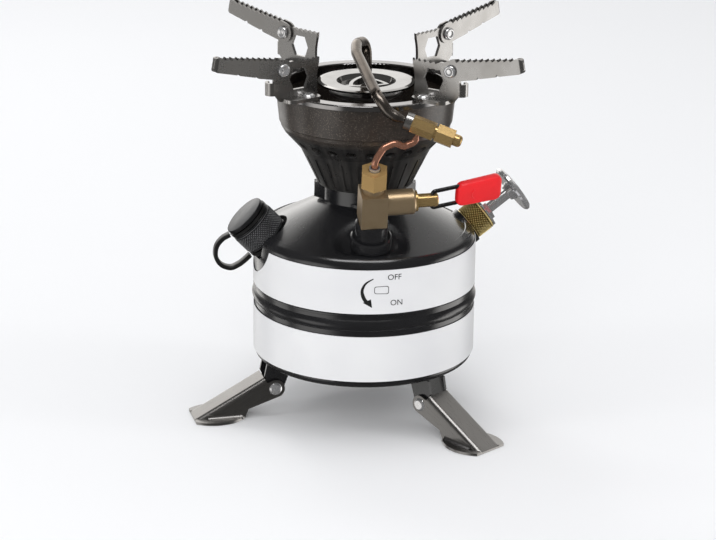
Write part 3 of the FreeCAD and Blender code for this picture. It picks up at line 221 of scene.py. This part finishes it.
# Materials.
def satin_paint(name):
    """Smooth black enamel."""
    look = Look(name, Coat_Weight=0.6, Coat_Roughness=0.12, Specular_IOR_Level=0.7)
    tint = (0.0075, 0.0075, 0.0085)
    patches = look.noise(38.0, 4.0)
    look.paint(patches, 0.35, 0.75, tint, scaled(tint, 1.5, 0.001))
    look.roughen(patches, (0.20, 0.30), 0.35, 0.7)
    look.bump(look.noise(950.0, 2.0), 0.03, 0.0001)
    return look.material


def bowl_paint(name):
    """Bronze black with fine glitter on the upper band, dark grey with runs on the cone."""
    cone_top, band_foot = 130.0, 134.0
    glitter = 2600.0
    look = Look(name, Coat_Weight=0.2, Coat_Roughness=0.20)
    turn, _, z = look.around(WORLD)
    upper = look.span(z, cone_top, band_foot, smooth=True)
    warm = look.shade(look.noise(45.0, 4.0), 0.35, 0.7,
                      (0.020, 0.0155, 0.0125), (0.040, 0.031, 0.025))
    runs = look.noise(1.0, 3.0, look.joined(look.times(turn, 9.0), look.times(z, 0.05), 0.0))
    cone = look.shade(runs, 0.4, 0.7, (0.016, 0.0155, 0.015), (0.044, 0.041, 0.038))
    body = look.mix(upper, cone, warm)
    specks = look.cells(glitter, "Color")
    chance = look.node("ShaderNodeSeparateColor", Color=specks).outputs[0]
    core = look.span(look.cells(glitter, "Distance"), 0.15, 0.45, 1.0, 0.0)
    glint = look.times(look.times(look.span(chance, 0.68, 0.80), core), upper)
    look.set("Base Color", look.mix(glint, body, (0.26, 0.22, 0.18)))
    look.set("Metallic", look.times(glint, 0.6))
    look.roughen(look.noise(160.0), (0.26, 0.38))
    look.bump(look.noise(1300.0, 2.0), 0.05, 0.0001)
    return look.material


def brushed(name, tint, matrix):
    """Bare metal with hair lines along X of the part's own frame."""
    look = Look(name, Metallic=1.0)
    grain = look.joined(*map(look.times, look.local(matrix), (0.10, 2.6, 2.6)))
    lines = look.noise(1.6, 3.0, grain, 0.7)
    share = look.plus(look.times(lines, 0.7), look.times(look.noise(60.0), 0.4))
    look.paint(share, 0.40, 0.70, scaled(tint, 0.80), tint)
    look.roughen(lines, (0.26, 0.36))
    look.bump(lines, 0.10, 0.00005)
    return look.material


def tumbled(name, tint, rough, deep, metal=1.0):
    """Bare metal, barrel polished: soft patches, fine scratches and a few stains."""
    stain, stained = (0.62, 0.58, 0.52), 0.25
    look = Look(name, Metallic=metal)
    patches = look.noise(95.0, 5.0)
    scratches = look.noise(1500.0, 2.0, look.stretched(1.0, 0.35, 2.4))
    dull = tuple(a * (1 - stained) + a * b * stained for a, b in zip(tint, stain))
    look.paint(patches, 0.35, 0.70, tint, dull)
    look.roughen(look.plus(patches, look.times(scratches, 0.4)), rough, 0.45, 0.95)
    look.bump(scratches, deep, 0.00002)
    return look.material


def knurl_look(name, matrix, low, high, ridge, groove, metal, rough, top=100.0):
    """Painted highlights on the knurl's points and painted shade in its grooves, told apart by the
    radius.

    The face above top has a tone of its own; 100 is higher than any part.
    """
    look = Look(name, Metallic=metal, Specular_IOR_Level=0.5)
    _, radius, z = look.around(matrix)
    roughness_and_painted_light_noise = look.noise(160.0, 4.0)
    # This noise blurs the edge between the painted highlight and the painted shade, and varies the
    # roughness.
    reach = look.plus(radius, look.times(look.math("SUBTRACT", roughness_and_painted_light_noise, 0.5), 0.12))
    # Points get the ridge colour, a painted highlight; grooves get the groove colour, painted
    # shade.
    body = look.mix(look.span(reach, low, high, smooth=True), groove, ridge)
    look.paint(z, top - 0.3, top - 0.1, body, scaled(ridge, 0.4))
    look.roughen(roughness_and_painted_light_noise, rough)
    look.bump(look.noise(900.0, 2.0), 0.03, 0.00003)
    return look.material


def turned_steel(name, tint, rough):
    """Polished sheet with faint rings about the tank's axis."""
    look = Look(name, Metallic=1.0)
    radius = look.around(WORLD)[1]
    rings = look.noise(1.0, 2.0, look.joined(look.times(radius, 2.2), 0.0, 0.0))
    look.paint(look.noise(120.0, 4.0), 0.4, 0.75, tint, scaled(tint, 0.82))
    look.roughen(rings, rough)
    look.bump(rings, 0.05, 0.00004)
    return look.material


def label_film(name):
    """Pale printed film."""
    look = Look(name, Specular_IOR_Level=0.4, Coat_Weight=0.1, Coat_Roughness=0.25)
    fibres = look.noise(420.0)
    look.paint(look.noise(26.0, 2.0), 0.3, 0.7, (0.76, 0.76, 0.76), (0.70, 0.70, 0.71))
    look.roughen(fibres, (0.34, 0.46))
    look.bump(fibres, 0.02, 0.00005)
    return look.material


def heat_tinted(name):
    """Steel that has been hot: dark grey brown, with warm bands near the flame."""
    cool_below, hot_above = 152.0, 168.0
    look = Look(name, Metallic=1.0)
    haze = look.noise(80.0, 4.0)
    level = look.plus(look.local(WORLD)[2], look.times(haze, 9.0))
    straw = look.shade(level, cool_below, hot_above, (0.27, 0.245, 0.225), (0.22, 0.185, 0.155))
    streaks = look.noise(260.0, 3.0, look.stretched(1.0, 0.3, 0.5))
    look.paint(streaks, 0.45, 0.8, straw, (0.13, 0.11, 0.095))
    look.roughen(haze, (0.20, 0.30))
    look.bump(streaks, 0.04, 0.00005)
    return look.material


def rubber(name, tint, rough, gloss=0.5):
    """Rubber, and the labels' ink: dull, with a little dust."""
    look = Look(name, Specular_IOR_Level=gloss)
    dust = look.noise(120.0, 4.0)
    look.paint(dust, 0.45, 0.8, tint, scaled(tint, 1.6, 0.002))
    look.roughen(dust, rough)
    look.bump(look.noise(1500.0, 2.0), 0.06, 0.00006)
    return look.material


def grip_plastic(name):
    """The soft red sleeve."""
    look = Look(name, Specular_IOR_Level=0.5, Coat_Weight=0.25, Coat_Roughness=0.15,
                Subsurface_Weight=0.08, Subsurface_Scale=0.003)
    soft = look.noise(90.0)
    look.paint(soft, 0.35, 0.7, (0.84, 0.010, 0.016), (0.74, 0.008, 0.013))
    look.roughen(soft, (0.32, 0.44))
    look.bump(look.noise(1400.0, 2.0), 0.04, 0.00006)
    return look.material


def wick_cloth(name):
    """White cord, woven round the tank's axis, with painted shade where the weave is low."""
    look = Look(name, Sheen_Weight=0.4, Roughness=0.9)
    turn, _, z = look.around(WORLD)
    across = look.math("SINE", look.times(turn, 90.0))
    weave = look.times(across, look.math("SINE", look.times(z, 7.0)))
    # Painted shade: the cord's colour darkens where the weave's bump is low, between the threads.
    look.paint(weave, -1.0, 1.0, (0.36, 0.34, 0.30), (0.62, 0.60, 0.55))
    look.bump(weave, 0.4, 0.0002)
    return look.material


SLOT_LOOKS = (
    (satin_paint, "black_paint"),
    (bowl_paint, "bowl_paint"),
    (label_film, "label_silver"),
    (tumbled, "stainless", (0.50, 0.49, 0.48), (0.24, 0.32), 0.02),
    (tumbled, "polished_steel", (0.82, 0.82, 0.83), (0.10, 0.18), 0.0, 0.82),
    (heat_tinted, "tube_steel"),
    (tumbled, "brass", (0.64, 0.44, 0.19), (0.20, 0.28), 0.01, 0.84),
    (tumbled, "bronze", (0.52, 0.39, 0.24), (0.28, 0.36), 0.01, 0.82),
    # Knurls: the bright ridge colours are painted highlights, the dark groove colours painted
    # shade.
    (knurl_look, "bright_brass", PUMP, 7.56, 7.84, (0.98, 0.78, 0.34), (0.10, 0.065, 0.015),
     0.66, (0.16, 0.26)),
    (tumbled, "copper", (0.56, 0.27, 0.18), (0.16, 0.24), 0.0, 0.8),
    (knurl_look, "cap_black", FILLER, 10.28, 10.60, (0.17, 0.17, 0.174), (0.008, 0.008, 0.009),
     0.0, (0.30, 0.42), 14.6),
    (grip_plastic, "sleeve_red"),
    (rubber, "rubber_black", (0.008, 0.008, 0.008), (0.30, 0.42)),
    (wick_cloth, "wick_white"),
)
LOOKS = {name: make(name, *rest) for make, name, *rest in SLOT_LOOKS}

# Nodes whose finish differs from the rest of their slot; the spreader's brighter steel is painted
# light.
NODE_LOOKS = {
    "rim_ring": turned_steel("rim_steel", (0.36, 0.35, 0.35), (0.07, 0.14)),
    "burner_cap": turned_steel("cap_steel", (0.50, 0.49, 0.48), (0.06, 0.14)),
    # Painted light: the spreader's steel is made brighter to stand in for light reaching into the
    # bowl through the air holes.
    "burner_spreader": turned_steel("spreader_painted_light_steel", (0.42, 0.41, 0.40), (0.30, 0.44)),
    "feed_nut": tumbled("nut_brass", (0.86, 0.56, 0.23), (0.20, 0.28), 0.01, 0.72),
    "handle_wire": tumbled("wire_steel", (0.12, 0.12, 0.125), (0.18, 0.28), 0.03),
}
for leg, leg_frame in LEGS.items():
    NODE_LOOKS[leg] = brushed(leg + "_steel", (0.34, 0.33, 0.32), leg_frame)


def dress(data, look):
    if not data.materials:
        data.materials.append(look)
    for number in range(len(data.materials)):
        data.materials[number] = look


for part in frame["record"]["subparts"]:
    node = part["node"]
    dress(NODES[node].data, NODE_LOOKS.get(node, LOOKS[part["material_slot"]]))


# Pieces built over the frame.
def placed(name, data):
    made = bpy.data.objects.new(name, data)
    bpy.context.collection.objects.link(made)
    return made


def finished(mesh, look, crease):
    """A mesh with its material, smooth but for the bends sharper than the crease."""
    mesh.materials.clear()
    mesh.materials.append(look)
    mesh.shade_smooth()
    mesh.set_sharp_from_angle(angle=math.radians(crease))
    return mesh


def new_piece(name, verts, faces, slot, body, matrix=WORLD, crease=CREASE, look=None):
    """A piece given in a part's own frame; without a body it stays free of any body."""
    mesh = bpy.data.meshes.new(name)
    mesh.from_pydata([tuple((matrix @ Vector(spot)) * MM) for spot in verts], [], faces)
    mesh.validate()
    piece = placed(name, finished(mesh, look or LOOKS[slot], crease))
    if body is not None:
        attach(piece, body)
    return piece


def neighbours(count):
    """The places round a closed ring, each with the next."""
    return [(here, (here + 1) % count) for here in range(count)]


def add_ring(verts, spots):
    """Put a ring's points among the vertices and give back their numbers."""
    start = len(verts)
    verts += spots
    return list(range(start, len(verts)))


def walls(rings, flip=False):
    """Faces from ring to ring; flip turns them inside out."""
    faces = []
    for low, high in zip(rings, rings[1:]):
        for here, there in neighbours(len(low)):
            corners = (low[here], low[there], high[there], high[here])
            faces.append(corners[:1] + corners[:0:-1] if flip else corners)
    return faces


def closed_walls(rings, flip=False):
    """The same with both ends closed."""
    ends = (rings[0], rings[-1][::-1]) if flip else (rings[0][::-1], rings[-1])
    return [tuple(end) for end in ends] + walls(rings, flip)


def heading(line, number):
    """The way a line runs at one of its points, not of unit length."""
    return line[min(number + 1, len(line) - 1)] - line[max(number - 1, 0)]


def lathe(name, matrix, rows, steps, slot, body):
    """A turned skin from rows of radius, height and relief, which lifts every other point."""
    verts = []
    rings = []
    for number, (radius, height, relief) in enumerate(rows):
        if radius == 0:
            rings.append(add_ring(verts, [(0, 0, height)]) * steps)
            continue
        ring = []
        for step in range(steps):
            turn = 2 * math.pi * step / steps
            reach = radius + (relief if (number + step) % 2 else 0)
            ring.append((reach * math.cos(turn), reach * math.sin(turn), height))
        rings.append(add_ring(verts, ring))
    faces = []
    for number, (low, high) in enumerate(zip(rings, rings[1:])):
        knurl = rows[number][2] > 0 or rows[number + 1][2] > 0
        for here, there in neighbours(steps):
            a, b, c, d = low[here], low[there], high[there], high[here]
            if not knurl:
                faces.append(tuple(dict.fromkeys((a, b, c, d))))
            elif (number + here) % 2:
                faces += [(a, b, d), (b, c, d)]
            else:
                faces += [(a, b, c), (a, c, d)]
    return new_piece(name, verts, faces, slot, body, matrix)


def plain_rows(*profile):
    """Rows of the lathe without relief."""
    return [(radius, height, 0) for radius, height in profile]


def knurled(radius, low, high, count):
    """Rows of a diamond knurl between two heights, with count gaps between its rows."""
    depth = 0.5
    foot = radius - depth
    rows = [(foot, low + (high - low) * (number + 0.5) / (count + 1), depth)
            for number in range(count + 1)]
    return plain_rows((foot, low)) + rows + plain_rows((foot, high))


def make_filler_cap():
    """A knurled skirt, a groove for the strap's ring and a flat disc on top."""
    rows = plain_rows((8.5, 0.0), (10.0, 0.0), (10.35, 0.35), (10.35, 1.0))
    rows += knurled(10.7, 1.1, 9.0, 12)
    rows += plain_rows((10.3, 9.2), (10.45, 9.35), (10.45, 9.6), (10.2, 9.8), (10.2, 10.1),
                       (10.0, 10.4), (9.4, 10.5), (8.6, 10.6), (8.5, 10.8), (8.5, 12.3),
                       (8.6, 12.5), (9.8, 12.55), (10.0, 12.8), (10.0, 14.1), (9.85, 14.42),
                       (9.5, 14.58), (0, 14.6))
    piece = lathe("filler_cap_skin", FILLER, rows, 104, "cap_black", "cap")
    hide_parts("filler_cap")


def make_pump_cap():
    """A knurled ring between two plain edges, open for the rod."""
    rows = plain_rows((2.6, 0.42), (7.3, 0.42), (7.75, 0.6), (7.75, 0.9), (7.5, 1.05))
    rows += knurled(8.0, 1.15, 8.3, 11)
    rows += plain_rows((7.45, 8.4), (7.85, 8.6), (7.85, 9.05), (7.6, 9.4), (7.2, 9.58),
                       (2.6, 9.58))
    piece = lathe("pump_cap_skin", PUMP, rows, 80, "bright_brass", "stove")
    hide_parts("pump_cap")


def rounded_outline(half_long, half_tall, corner, steps=8):
    """A rounded rectangle in the plane, counter-clockwise."""
    spots = []
    for quarter in range(4):
        sx = 1 if quarter in (0, 3) else -1
        sy = 1 if quarter in (0, 1) else -1
        for step in range(steps + 1):
            turn = math.pi / 2 * (quarter + step / steps)
            spots.append((sx * (half_long - corner) + corner * math.cos(turn),
                          sy * (half_tall - corner) + corner * math.sin(turn)))
    return spots


def make_grip():
    """The soft sleeve: a pillowed block with rounded ends, taller at its far end."""
    middle, half_long, half_tall, half_thick = 21.7, 10.5, 6.4, 2.1
    edge, corner, least_corner = 1.35, 3.0, 0.6
    taper = 0.7 / (2 * half_long)
    crown, crown_long, crown_tall = 0.12, 0.72, 0.62
    steps = 8
    verts = []
    rings = []
    for step in range(steps + 1):
        turn = -math.pi / 2 + math.pi * step / steps
        side = math.copysign(1, math.sin(turn)) if step != steps // 2 else 0
        inset = edge * (1 - math.cos(turn))
        level = side * (half_thick - edge) + edge * math.sin(turn)
        outline = rounded_outline(half_long - inset, half_tall - inset,
                                  max(corner - inset, least_corner))
        rings.append(add_ring(verts, [(middle + x, level,
                                       z * (1 - taper * (half_long - x) / half_tall))
                                      for x, z in outline]))
    faces = walls(rings)
    for ring, level, way in ((rings[0], -half_thick - crown, 1),
                             (rings[-1], half_thick + crown, -1)):
        inner = add_ring(verts, [(middle + (verts[index][0] - middle) * crown_long, level,
                                  verts[index][2] * crown_tall) for index in ring])
        faces += [(ring[here], inner[here], inner[there], ring[there])[::way]
                  for here, there in neighbours(len(ring))]
        faces.append(tuple(inner[::-way]))
    sleeve = new_piece("grip_sleeve", verts, faces, "sleeve_red", "handle", HANDLE, SOFT_CREASE)
    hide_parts("handle_grip")


def bent_rod(name, points, radius, slot, body, matrix=WORLD, sides=10):
    """A rod along points, drawn in at both ends."""
    crease, drawn_in = 50.0, 0.35
    line = [Vector(spot) for spot in points]
    verts = []
    rings = []
    for number, spot in enumerate(line):
        along = heading(line, number).normalized()
        first = along.orthogonal().normalized()
        if abs(along.y) < 0.9:
            first = along.cross(Vector((0, 1, 0))).normalized()
        second = along.cross(first)
        reach = radius * (drawn_in if number in (0, len(line) - 1) else 1.0)
        turns = [2 * math.pi * side / sides for side in range(sides)]
        rings.append(add_ring(verts, [spot + first * (reach * math.cos(turn))
                                      + second * (reach * math.sin(turn)) for turn in turns]))
    return new_piece(name, verts, closed_walls(rings, flip=True), slot, body, matrix, crease)


def make_grip_mark():
    """The raised crescent for the thumb on both faces of the sleeve."""
    centre, radius, steps = 20.2, 2.6, 12
    for name, level in (("grip_mark_front", -2.18), ("grip_mark_back", 2.18)):
        points = []
        for step in range(steps + 1):
            turn = math.radians(115 + 130 * step / steps)
            points.append((centre + radius * math.cos(turn), level, radius * math.sin(turn)))
        bent_rod(name, points, 0.34, "sleeve_red", "handle", HANDLE)


def smooth_line(points):
    """A smooth line through points."""
    steps = 8
    spots = [Vector(spot) for spot in points]
    line = []
    for number in range(len(spots) - 1):
        p0 = spots[max(number - 1, 0)]
        p1, p2 = spots[number], spots[number + 1]
        p3 = spots[min(number + 2, len(spots) - 1)]
        for step in range(steps):
            t = step / steps
            line.append(0.5 * (2 * p1 + (p2 - p0) * t + (2 * p0 - 5 * p1 + 4 * p2 - p3) * t * t
                               + (3 * p1 - p0 - 3 * p2 + p3) * t ** 3))
    line.append(spots[-1])
    return line


def rounded_run(points, radii):
    """Points along straight runs joined by arcs of the given radii."""
    degrees_a_step = 8.0
    spots = [Vector(spot) for spot in points]
    line = [spots[0]]
    for before, corner, after, radius in zip(spots, spots[1:], spots[2:], radii):
        first, second = (before - corner).normalized(), (after - corner).normalized()
        half = first.angle(second) / 2
        middle = corner + (first + second).normalized() * (radius / math.sin(half))
        start = corner + first * (radius / math.tan(half)) - middle
        end = corner + second * (radius / math.tan(half)) - middle
        whole = start.angle(end)
        count = max(2, math.ceil(math.degrees(whole) / degrees_a_step))
        for number in range(count + 1):
            share = number / count
            spot = start * math.sin((1 - share) * whole) + end * math.sin(share * whole)
            line.append(middle + spot / math.sin(whole))
    line.append(spots[-1])
    return line


def make_tubes():
    """Drawn tubes with smooth bends, on the routes of their solids."""
    vapour = rounded_run([(5.9, -48.69, 146.3), (-1.7, -44.95, 149.3), (-6.3, -42.8, 156.2),
                          (-3.86, 2.59, 164.4), (-1.34, 12.78, 166.2), (6.73, 25.11, 164.3),
                          (6.164, 19.551, 115.0), (1.263, 4.006, 115.0)],
                         (10.0, 8.0, 20.0, 16.0, 7.5, 7.5))
    tube = bent_rod("vaporiser_skin", vapour, 2.4, "tube_steel", "stove", sides=28)
    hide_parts("vaporiser_tube")
    feed = rounded_run([(-9.09, -47.995, 119.412), (-9.821, -52.138, 130.97),
                        (-5.73, -50.9, 136.2), (-0.7, -51.0, 138.2), (3.0, -51.0, 136.1),
                        (8.225, -49.79, 137.629), (9.348, -50.321, 141.326)],
                       (4.5, 3.6, 3.6, 3.6, 2.4))
    pipe = bent_rod("feed_skin", feed, 1.5, "copper", "stove", sides=20)
    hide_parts("feed_tube")


def make_eyelets():
    """Rolled rivet heads with a dimple, on both faces of each support."""
    along, half_plate, height = 12.0, 1.86, 165.8
    rows = plain_rows((2.62, 0.0), (2.78, 0.12), (2.84, 0.5), (2.7, 1.0), (2.35, 1.36),
                      (1.95, 1.46), (1.6, 1.4), (1.25, 1.2), (0.9, 1.14), (0, 1.12))
    for name, place in SUPPORTS.items():
        for face, end in ((1, "_far"), (-1, "_near")):
            lean = leaned(-90 * face, "X")
            lathe("eyelet_" + name + end, place @ shifted(along, half_plate * face, height) @ lean,
                  rows, 40, "polished_steel", "support_" + name)


def split_smoothly(mesh, edges):
    """Halve edges; each new point keeps its ends' mean radius about the tank's axis."""
    for edge in edges:
        first, second = edge.verts
        reach = (first.co.xy.length + second.co.xy.length) / 2
        vert = bmesh.utils.edge_split(edge, first, 0.5)[1]
        vert.co.xy *= reach / max(vert.co.xy.length, MM)
    bmesh.ops.triangulate(mesh, faces=[face for face in mesh.faces if len(face.verts) > 3])


def eased(value):
    """0 to 1 with level ends, for a value that is cut to that range first."""
    value = min(max(value, 0.0), 1.0)
    return value * value * (3 - 2 * value)


def make_dished_shell():
    """The upper shell with the shallow dish pressed round the valve boss."""
    depth, reach, fade = 1.3, 17.0, 5.0
    wall, wall_fade = 46.5, 5.5            # the dish ends before the tank's wall
    cut_reach, longest, lowest = 18.0, 1.3, -30.0
    solid = bmesh.new()
    solid.from_mesh(NODES["tank_upper_shell"].data)
    back = VALVE.inverted()
    for _ in range(7):
        long_edges = []
        for edge in solid.edges:
            first, second = (back @ (vert.co / MM) for vert in edge.verts)
            run = second.xy - first.xy
            share = max(0.0, min(1.0, -first.xy.dot(run) / max(run.length_squared, 1e-9)))
            near = (first.xy + run * share).length
            if (near < cut_reach and edge.calc_length() > longest * MM
                    and min(first.z, second.z) > lowest):
                long_edges.append(edge)
        split_smoothly(solid, long_edges)
    down = -VALVE.to_3x3().col[2]
    for vert in solid.verts:
        spot = back @ (vert.co / MM)
        if spot.z < lowest:
            continue
        soft = (eased((reach - spot.xy.length) / fade)
                * eased((wall * MM - vert.co.xy.length) / (wall_fade * MM)))
        vert.co += down * (depth * MM * soft)
    mesh = bpy.data.meshes.new("tank_shell_skin")
    solid.to_mesh(mesh)
    solid.free()
    shell = placed("tank_shell_skin", finished(mesh, LOOKS["black_paint"], CREASE))
    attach(shell, "stove")
    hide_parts("tank_upper_shell")


def make_strap():
    """The rubber band from the cap's groove to the neck."""
    turned = around(FILLER_TURN)
    line = smooth_line([(60.95, 0, 84.1), (64.4, 0, 82.2), (67.0, 0, 78.6), (67.3, 0, 74.0),
                        (65.0, 0, 70.2), (60.8, 0, 68.6), (57.2, 0, 69.9), (54.4, 0, 71.9),
                        (51.9, 0, 74.2)])
    outline = rounded_outline(0.95, 2.35, 0.7, 3)
    verts = []
    rings = []
    for number, spot in enumerate(line):
        along = heading(line, number).normalized()
        across = Vector((-along.z, 0, along.x))
        rings.append(add_ring(verts, [spot + across * x + Vector((0, y, 0))
                                      for x, y in outline]))
    strap = new_piece("cap_strap", verts, closed_walls(rings), "rubber_black", None, turned,
                      SOFT_CREASE)
    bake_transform(strap)
    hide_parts("filler_strap")


# Marks printed on the upper label, placed by turn and height.
LABEL_SKIN = 50.05
INK_LIFT = 0.06
TURN_PER_MM = 180 / math.pi / LABEL_SKIN


def on_label(turn, height):
    angle = math.radians(turn)
    radius = LABEL_SKIN + INK_LIFT
    return (radius * math.cos(angle), radius * math.sin(angle), height)


def make_mark(name, verts, faces, ink):
    new_piece(name, verts, faces, "label_silver", "stove", look=ink)


def make_words(ink):
    """The valve's two ends, in plain letters bent round the label."""
    for name, word, turn, height in (("mark_off", "OFF", -93.4, 76.4),
                                     ("mark_on", "ON", -91.9, 64.7)):
        data = bpy.data.curves.new(name, "FONT")
        data.body = word
        data.size = 3.6
        data.resolution_u = 4
        text = placed(name + "_text", data)
        bpy.context.view_layer.update()
        level = bpy.data.meshes.new_from_object(text)
        verts = [on_label(turn + spot.co.x * TURN_PER_MM, height + spot.co.y)
                 for spot in level.vertices]
        faces = [tuple(face.vertices) for face in level.polygons]
        bpy.data.objects.remove(text)
        make_mark(name, verts, faces, ink)


def make_arrow(ink):
    """A bent arrow whose line widens to full over its first two thirds."""
    thin, wider, widening = 0.18, 0.62, 1.5
    sweep = smooth_line([(-100.4, 77.1, 0), (-104.2, 75.0, 0), (-106.0, 71.6, 0),
                         (-105.0, 68.0, 0), (-103.0, 66.0, 0)])
    last = len(sweep) - 1
    verts = []
    for number, spot in enumerate(sweep):
        along = heading(sweep, number)
        along.x /= TURN_PER_MM
        side = Vector((-along.y, along.x, 0)).normalized()
        wide = thin + wider * min(number / last * widening, 1.0)
        for way in (-wide, wide):
            verts.append(on_label(spot.x + side.x * way * TURN_PER_MM, spot.y + side.y * way))
    faces = [(n * 2, n * 2 + 1, n * 2 + 3, n * 2 + 2) for n in range(last)]
    faces.append(tuple(add_ring(verts, [on_label(-105.6, 66.2), on_label(-101.6, 67.8),
                                        on_label(-101.0, 63.9)])))
    make_mark("mark_arrow", verts, faces, ink)


def make_handle_mark(ink):
    """A small outline of the handle's grip, less tall at its left end."""
    turn, height, left_taper = -96.3, 71.9, 0.916
    outer = rounded_outline(3.2, 1.85, 0.9, 4)
    verts = []
    for x, y in outer:
        for wide, tall in ((1.0, 1.0), (0.92, 0.86)):
            verts.append(on_label(turn + x * wide * TURN_PER_MM,
                                  height + y * tall * (left_taper if x < 0 else 1)))
    faces = [(2 * here, 2 * here + 1, 2 * there + 1, 2 * there)
             for here, there in neighbours(len(outer))]
    make_mark("mark_handle", verts, faces, ink)


def make_marks():
    ink = rubber("print_ink", (0.012, 0.012, 0.012), (0.45, 0.6), 0.3)
    make_words(ink)
    make_arrow(ink)
    make_handle_mark(ink)


make_filler_cap()
make_pump_cap()
make_grip()
make_grip_mark()
make_tubes()
make_eyelets()
make_dished_shell()
make_strap()
make_marks()

# Camera, lights and floor, in metres.
MIDDLE = (0, 0, 0.1)
FLOOR_HALF = 4.0

# What gloss sees around the stove: azimuth, elevation, full and faded half-angles, brightness.
GLOW = ((38.0, 47.0, 8.0, 30.0, 0.52), (100.0, 20.0, 12.0, 28.0, 1.00),
        (75.0, 8.0, 18.0, 40.0, 0.90), (358.0, -18.0, 12.0, 27.0, 1.60),
        (201.0, -18.0, 10.0, 27.0, 0.95), (158.0, -18.0, 7.0, 14.0, 1.00),
        (112.0, -18.0, 6.0, 15.0, 1.20))
ROOM = 0.09      # the brightness between the glows
AMBIENT = 0.82   # what the eye and matt surfaces see instead


def direction(azimuth, elevation):
    """A unit vector towards an azimuth and elevation."""
    turn, lift = math.radians(azimuth), math.radians(elevation)
    return (math.cos(lift) * math.cos(turn), math.cos(lift) * math.sin(turn), math.sin(lift))


def make_camera():
    """The photograph's view; the roll is in radians."""
    spot, ahead, roll = (-0.2873, -1.0618, 0.4366), (0.2451, 0.9149, -0.3206), 0.01027
    data = bpy.data.cameras.new("camera")
    data.sensor_width = 36.0
    data.lens = 129.26
    forward = Vector(ahead).normalized()
    level = forward.cross(Vector((0, 0, 1))).normalized()
    raised = level.cross(forward)
    right = level * math.cos(roll) + raised * math.sin(roll)
    up = right.cross(forward)
    camera = placed("camera", data)
    camera.matrix_world = shifted(*spot) @ Matrix((right, up, -forward)).transposed().to_4x4()
    bpy.context.scene.camera = camera


def soft_box(name, view, size, power, mirrored=True, fills=True):
    """An area light at an azimuth, elevation and distance, turned to the stove.

    One that isn't mirrored doesn't show in gloss; one that doesn't fill shows only there.
    """
    azimuth, elevation, distance = view
    spot = tuple(centre + distance * part
                 for centre, part in zip(MIDDLE, direction(azimuth, elevation)))
    data = bpy.data.lights.new(name, "AREA")
    data.shape = "RECTANGLE"
    data.size, data.size_y = size
    data.energy = power
    lamp = placed(name, data)
    away = (Vector(spot) - Vector(MIDDLE)).normalized()
    lamp.matrix_world = shifted(*spot) @ away.to_track_quat("Z", "Y").to_matrix().to_4x4()
    lamp.visible_glossy = mirrored
    lamp.visible_diffuse = fills


def make_world():
    """Pale and even for the eye and for matt surfaces; a dark room with glows for gloss."""
    world = bpy.data.worlds.new("studio")
    world.use_nodes = True
    world.node_tree.nodes.clear()
    tree = Tree(world.node_tree)
    where = tree.place("Generated")
    level = ROOM
    for azimuth, elevation, full, faded, bright in GLOW:
        facing = tree.vector("DOT_PRODUCT", where, direction(azimuth, elevation))
        glow = tree.span(facing, math.cos(math.radians(faded)), math.cos(math.radians(full)),
                         0.0, bright, smooth=True)
        level = tree.plus(glow, level)
    matt = tree.node("ShaderNodeBackground", Color=(0.97, 0.98, 1.0, 1.0), Strength=AMBIENT)
    gloss = tree.node("ShaderNodeBackground", Color=(1.0, 0.985, 0.96, 1.0), Strength=level)
    glossy = tree.node("ShaderNodeLightPath").outputs["Is Glossy Ray"]
    either = tree.fed(tree.node("ShaderNodeMixShader"),
                      (glossy, matt.outputs[0], gloss.outputs[0]))
    tree.node("ShaderNodeOutputWorld", Surface=either.outputs[0])
    bpy.context.scene.world = world


def make_lights():
    soft_box("box_top", (250, 70, 1.1), (0.9, 0.42), 5.0, fills=False)
    soft_box("box_back_left", (103, 36, 1.1), (0.30, 0.16), 1.6, mirrored=False)
    soft_box("box_right", (332, 30, 1.1), (0.16, 0.6), 1.2, mirrored=False)
    soft_box("box_left", (188, 34, 1.1), (0.14, 0.6), 1.0, mirrored=False)
    soft_box("fill_front", (246, 24, 1.6), (1.0, 1.0), 8.5, mirrored=False)


def make_floor():
    """A pale floor that gloss doesn't see."""
    mesh = bpy.data.meshes.new("floor")
    mesh.from_pydata([(x * FLOOR_HALF, y * FLOOR_HALF, 0)
                      for x, y in ((-1, -1), (1, -1), (1, 1), (-1, 1))], [], [(0, 1, 2, 3)])
    floor = placed("floor", mesh)
    floor.visible_glossy = False
    look = Look("floor", Base_Color=(0.90, 0.90, 0.905), Roughness=0.6, Specular_IOR_Level=0.1)
    look.bump(look.noise(60.0), 0.02, 0.0005)
    mesh.materials.append(look.material)


make_camera()
make_world()
make_lights()
make_floor()
bpy.context.scene.view_settings.view_transform = "Standard"
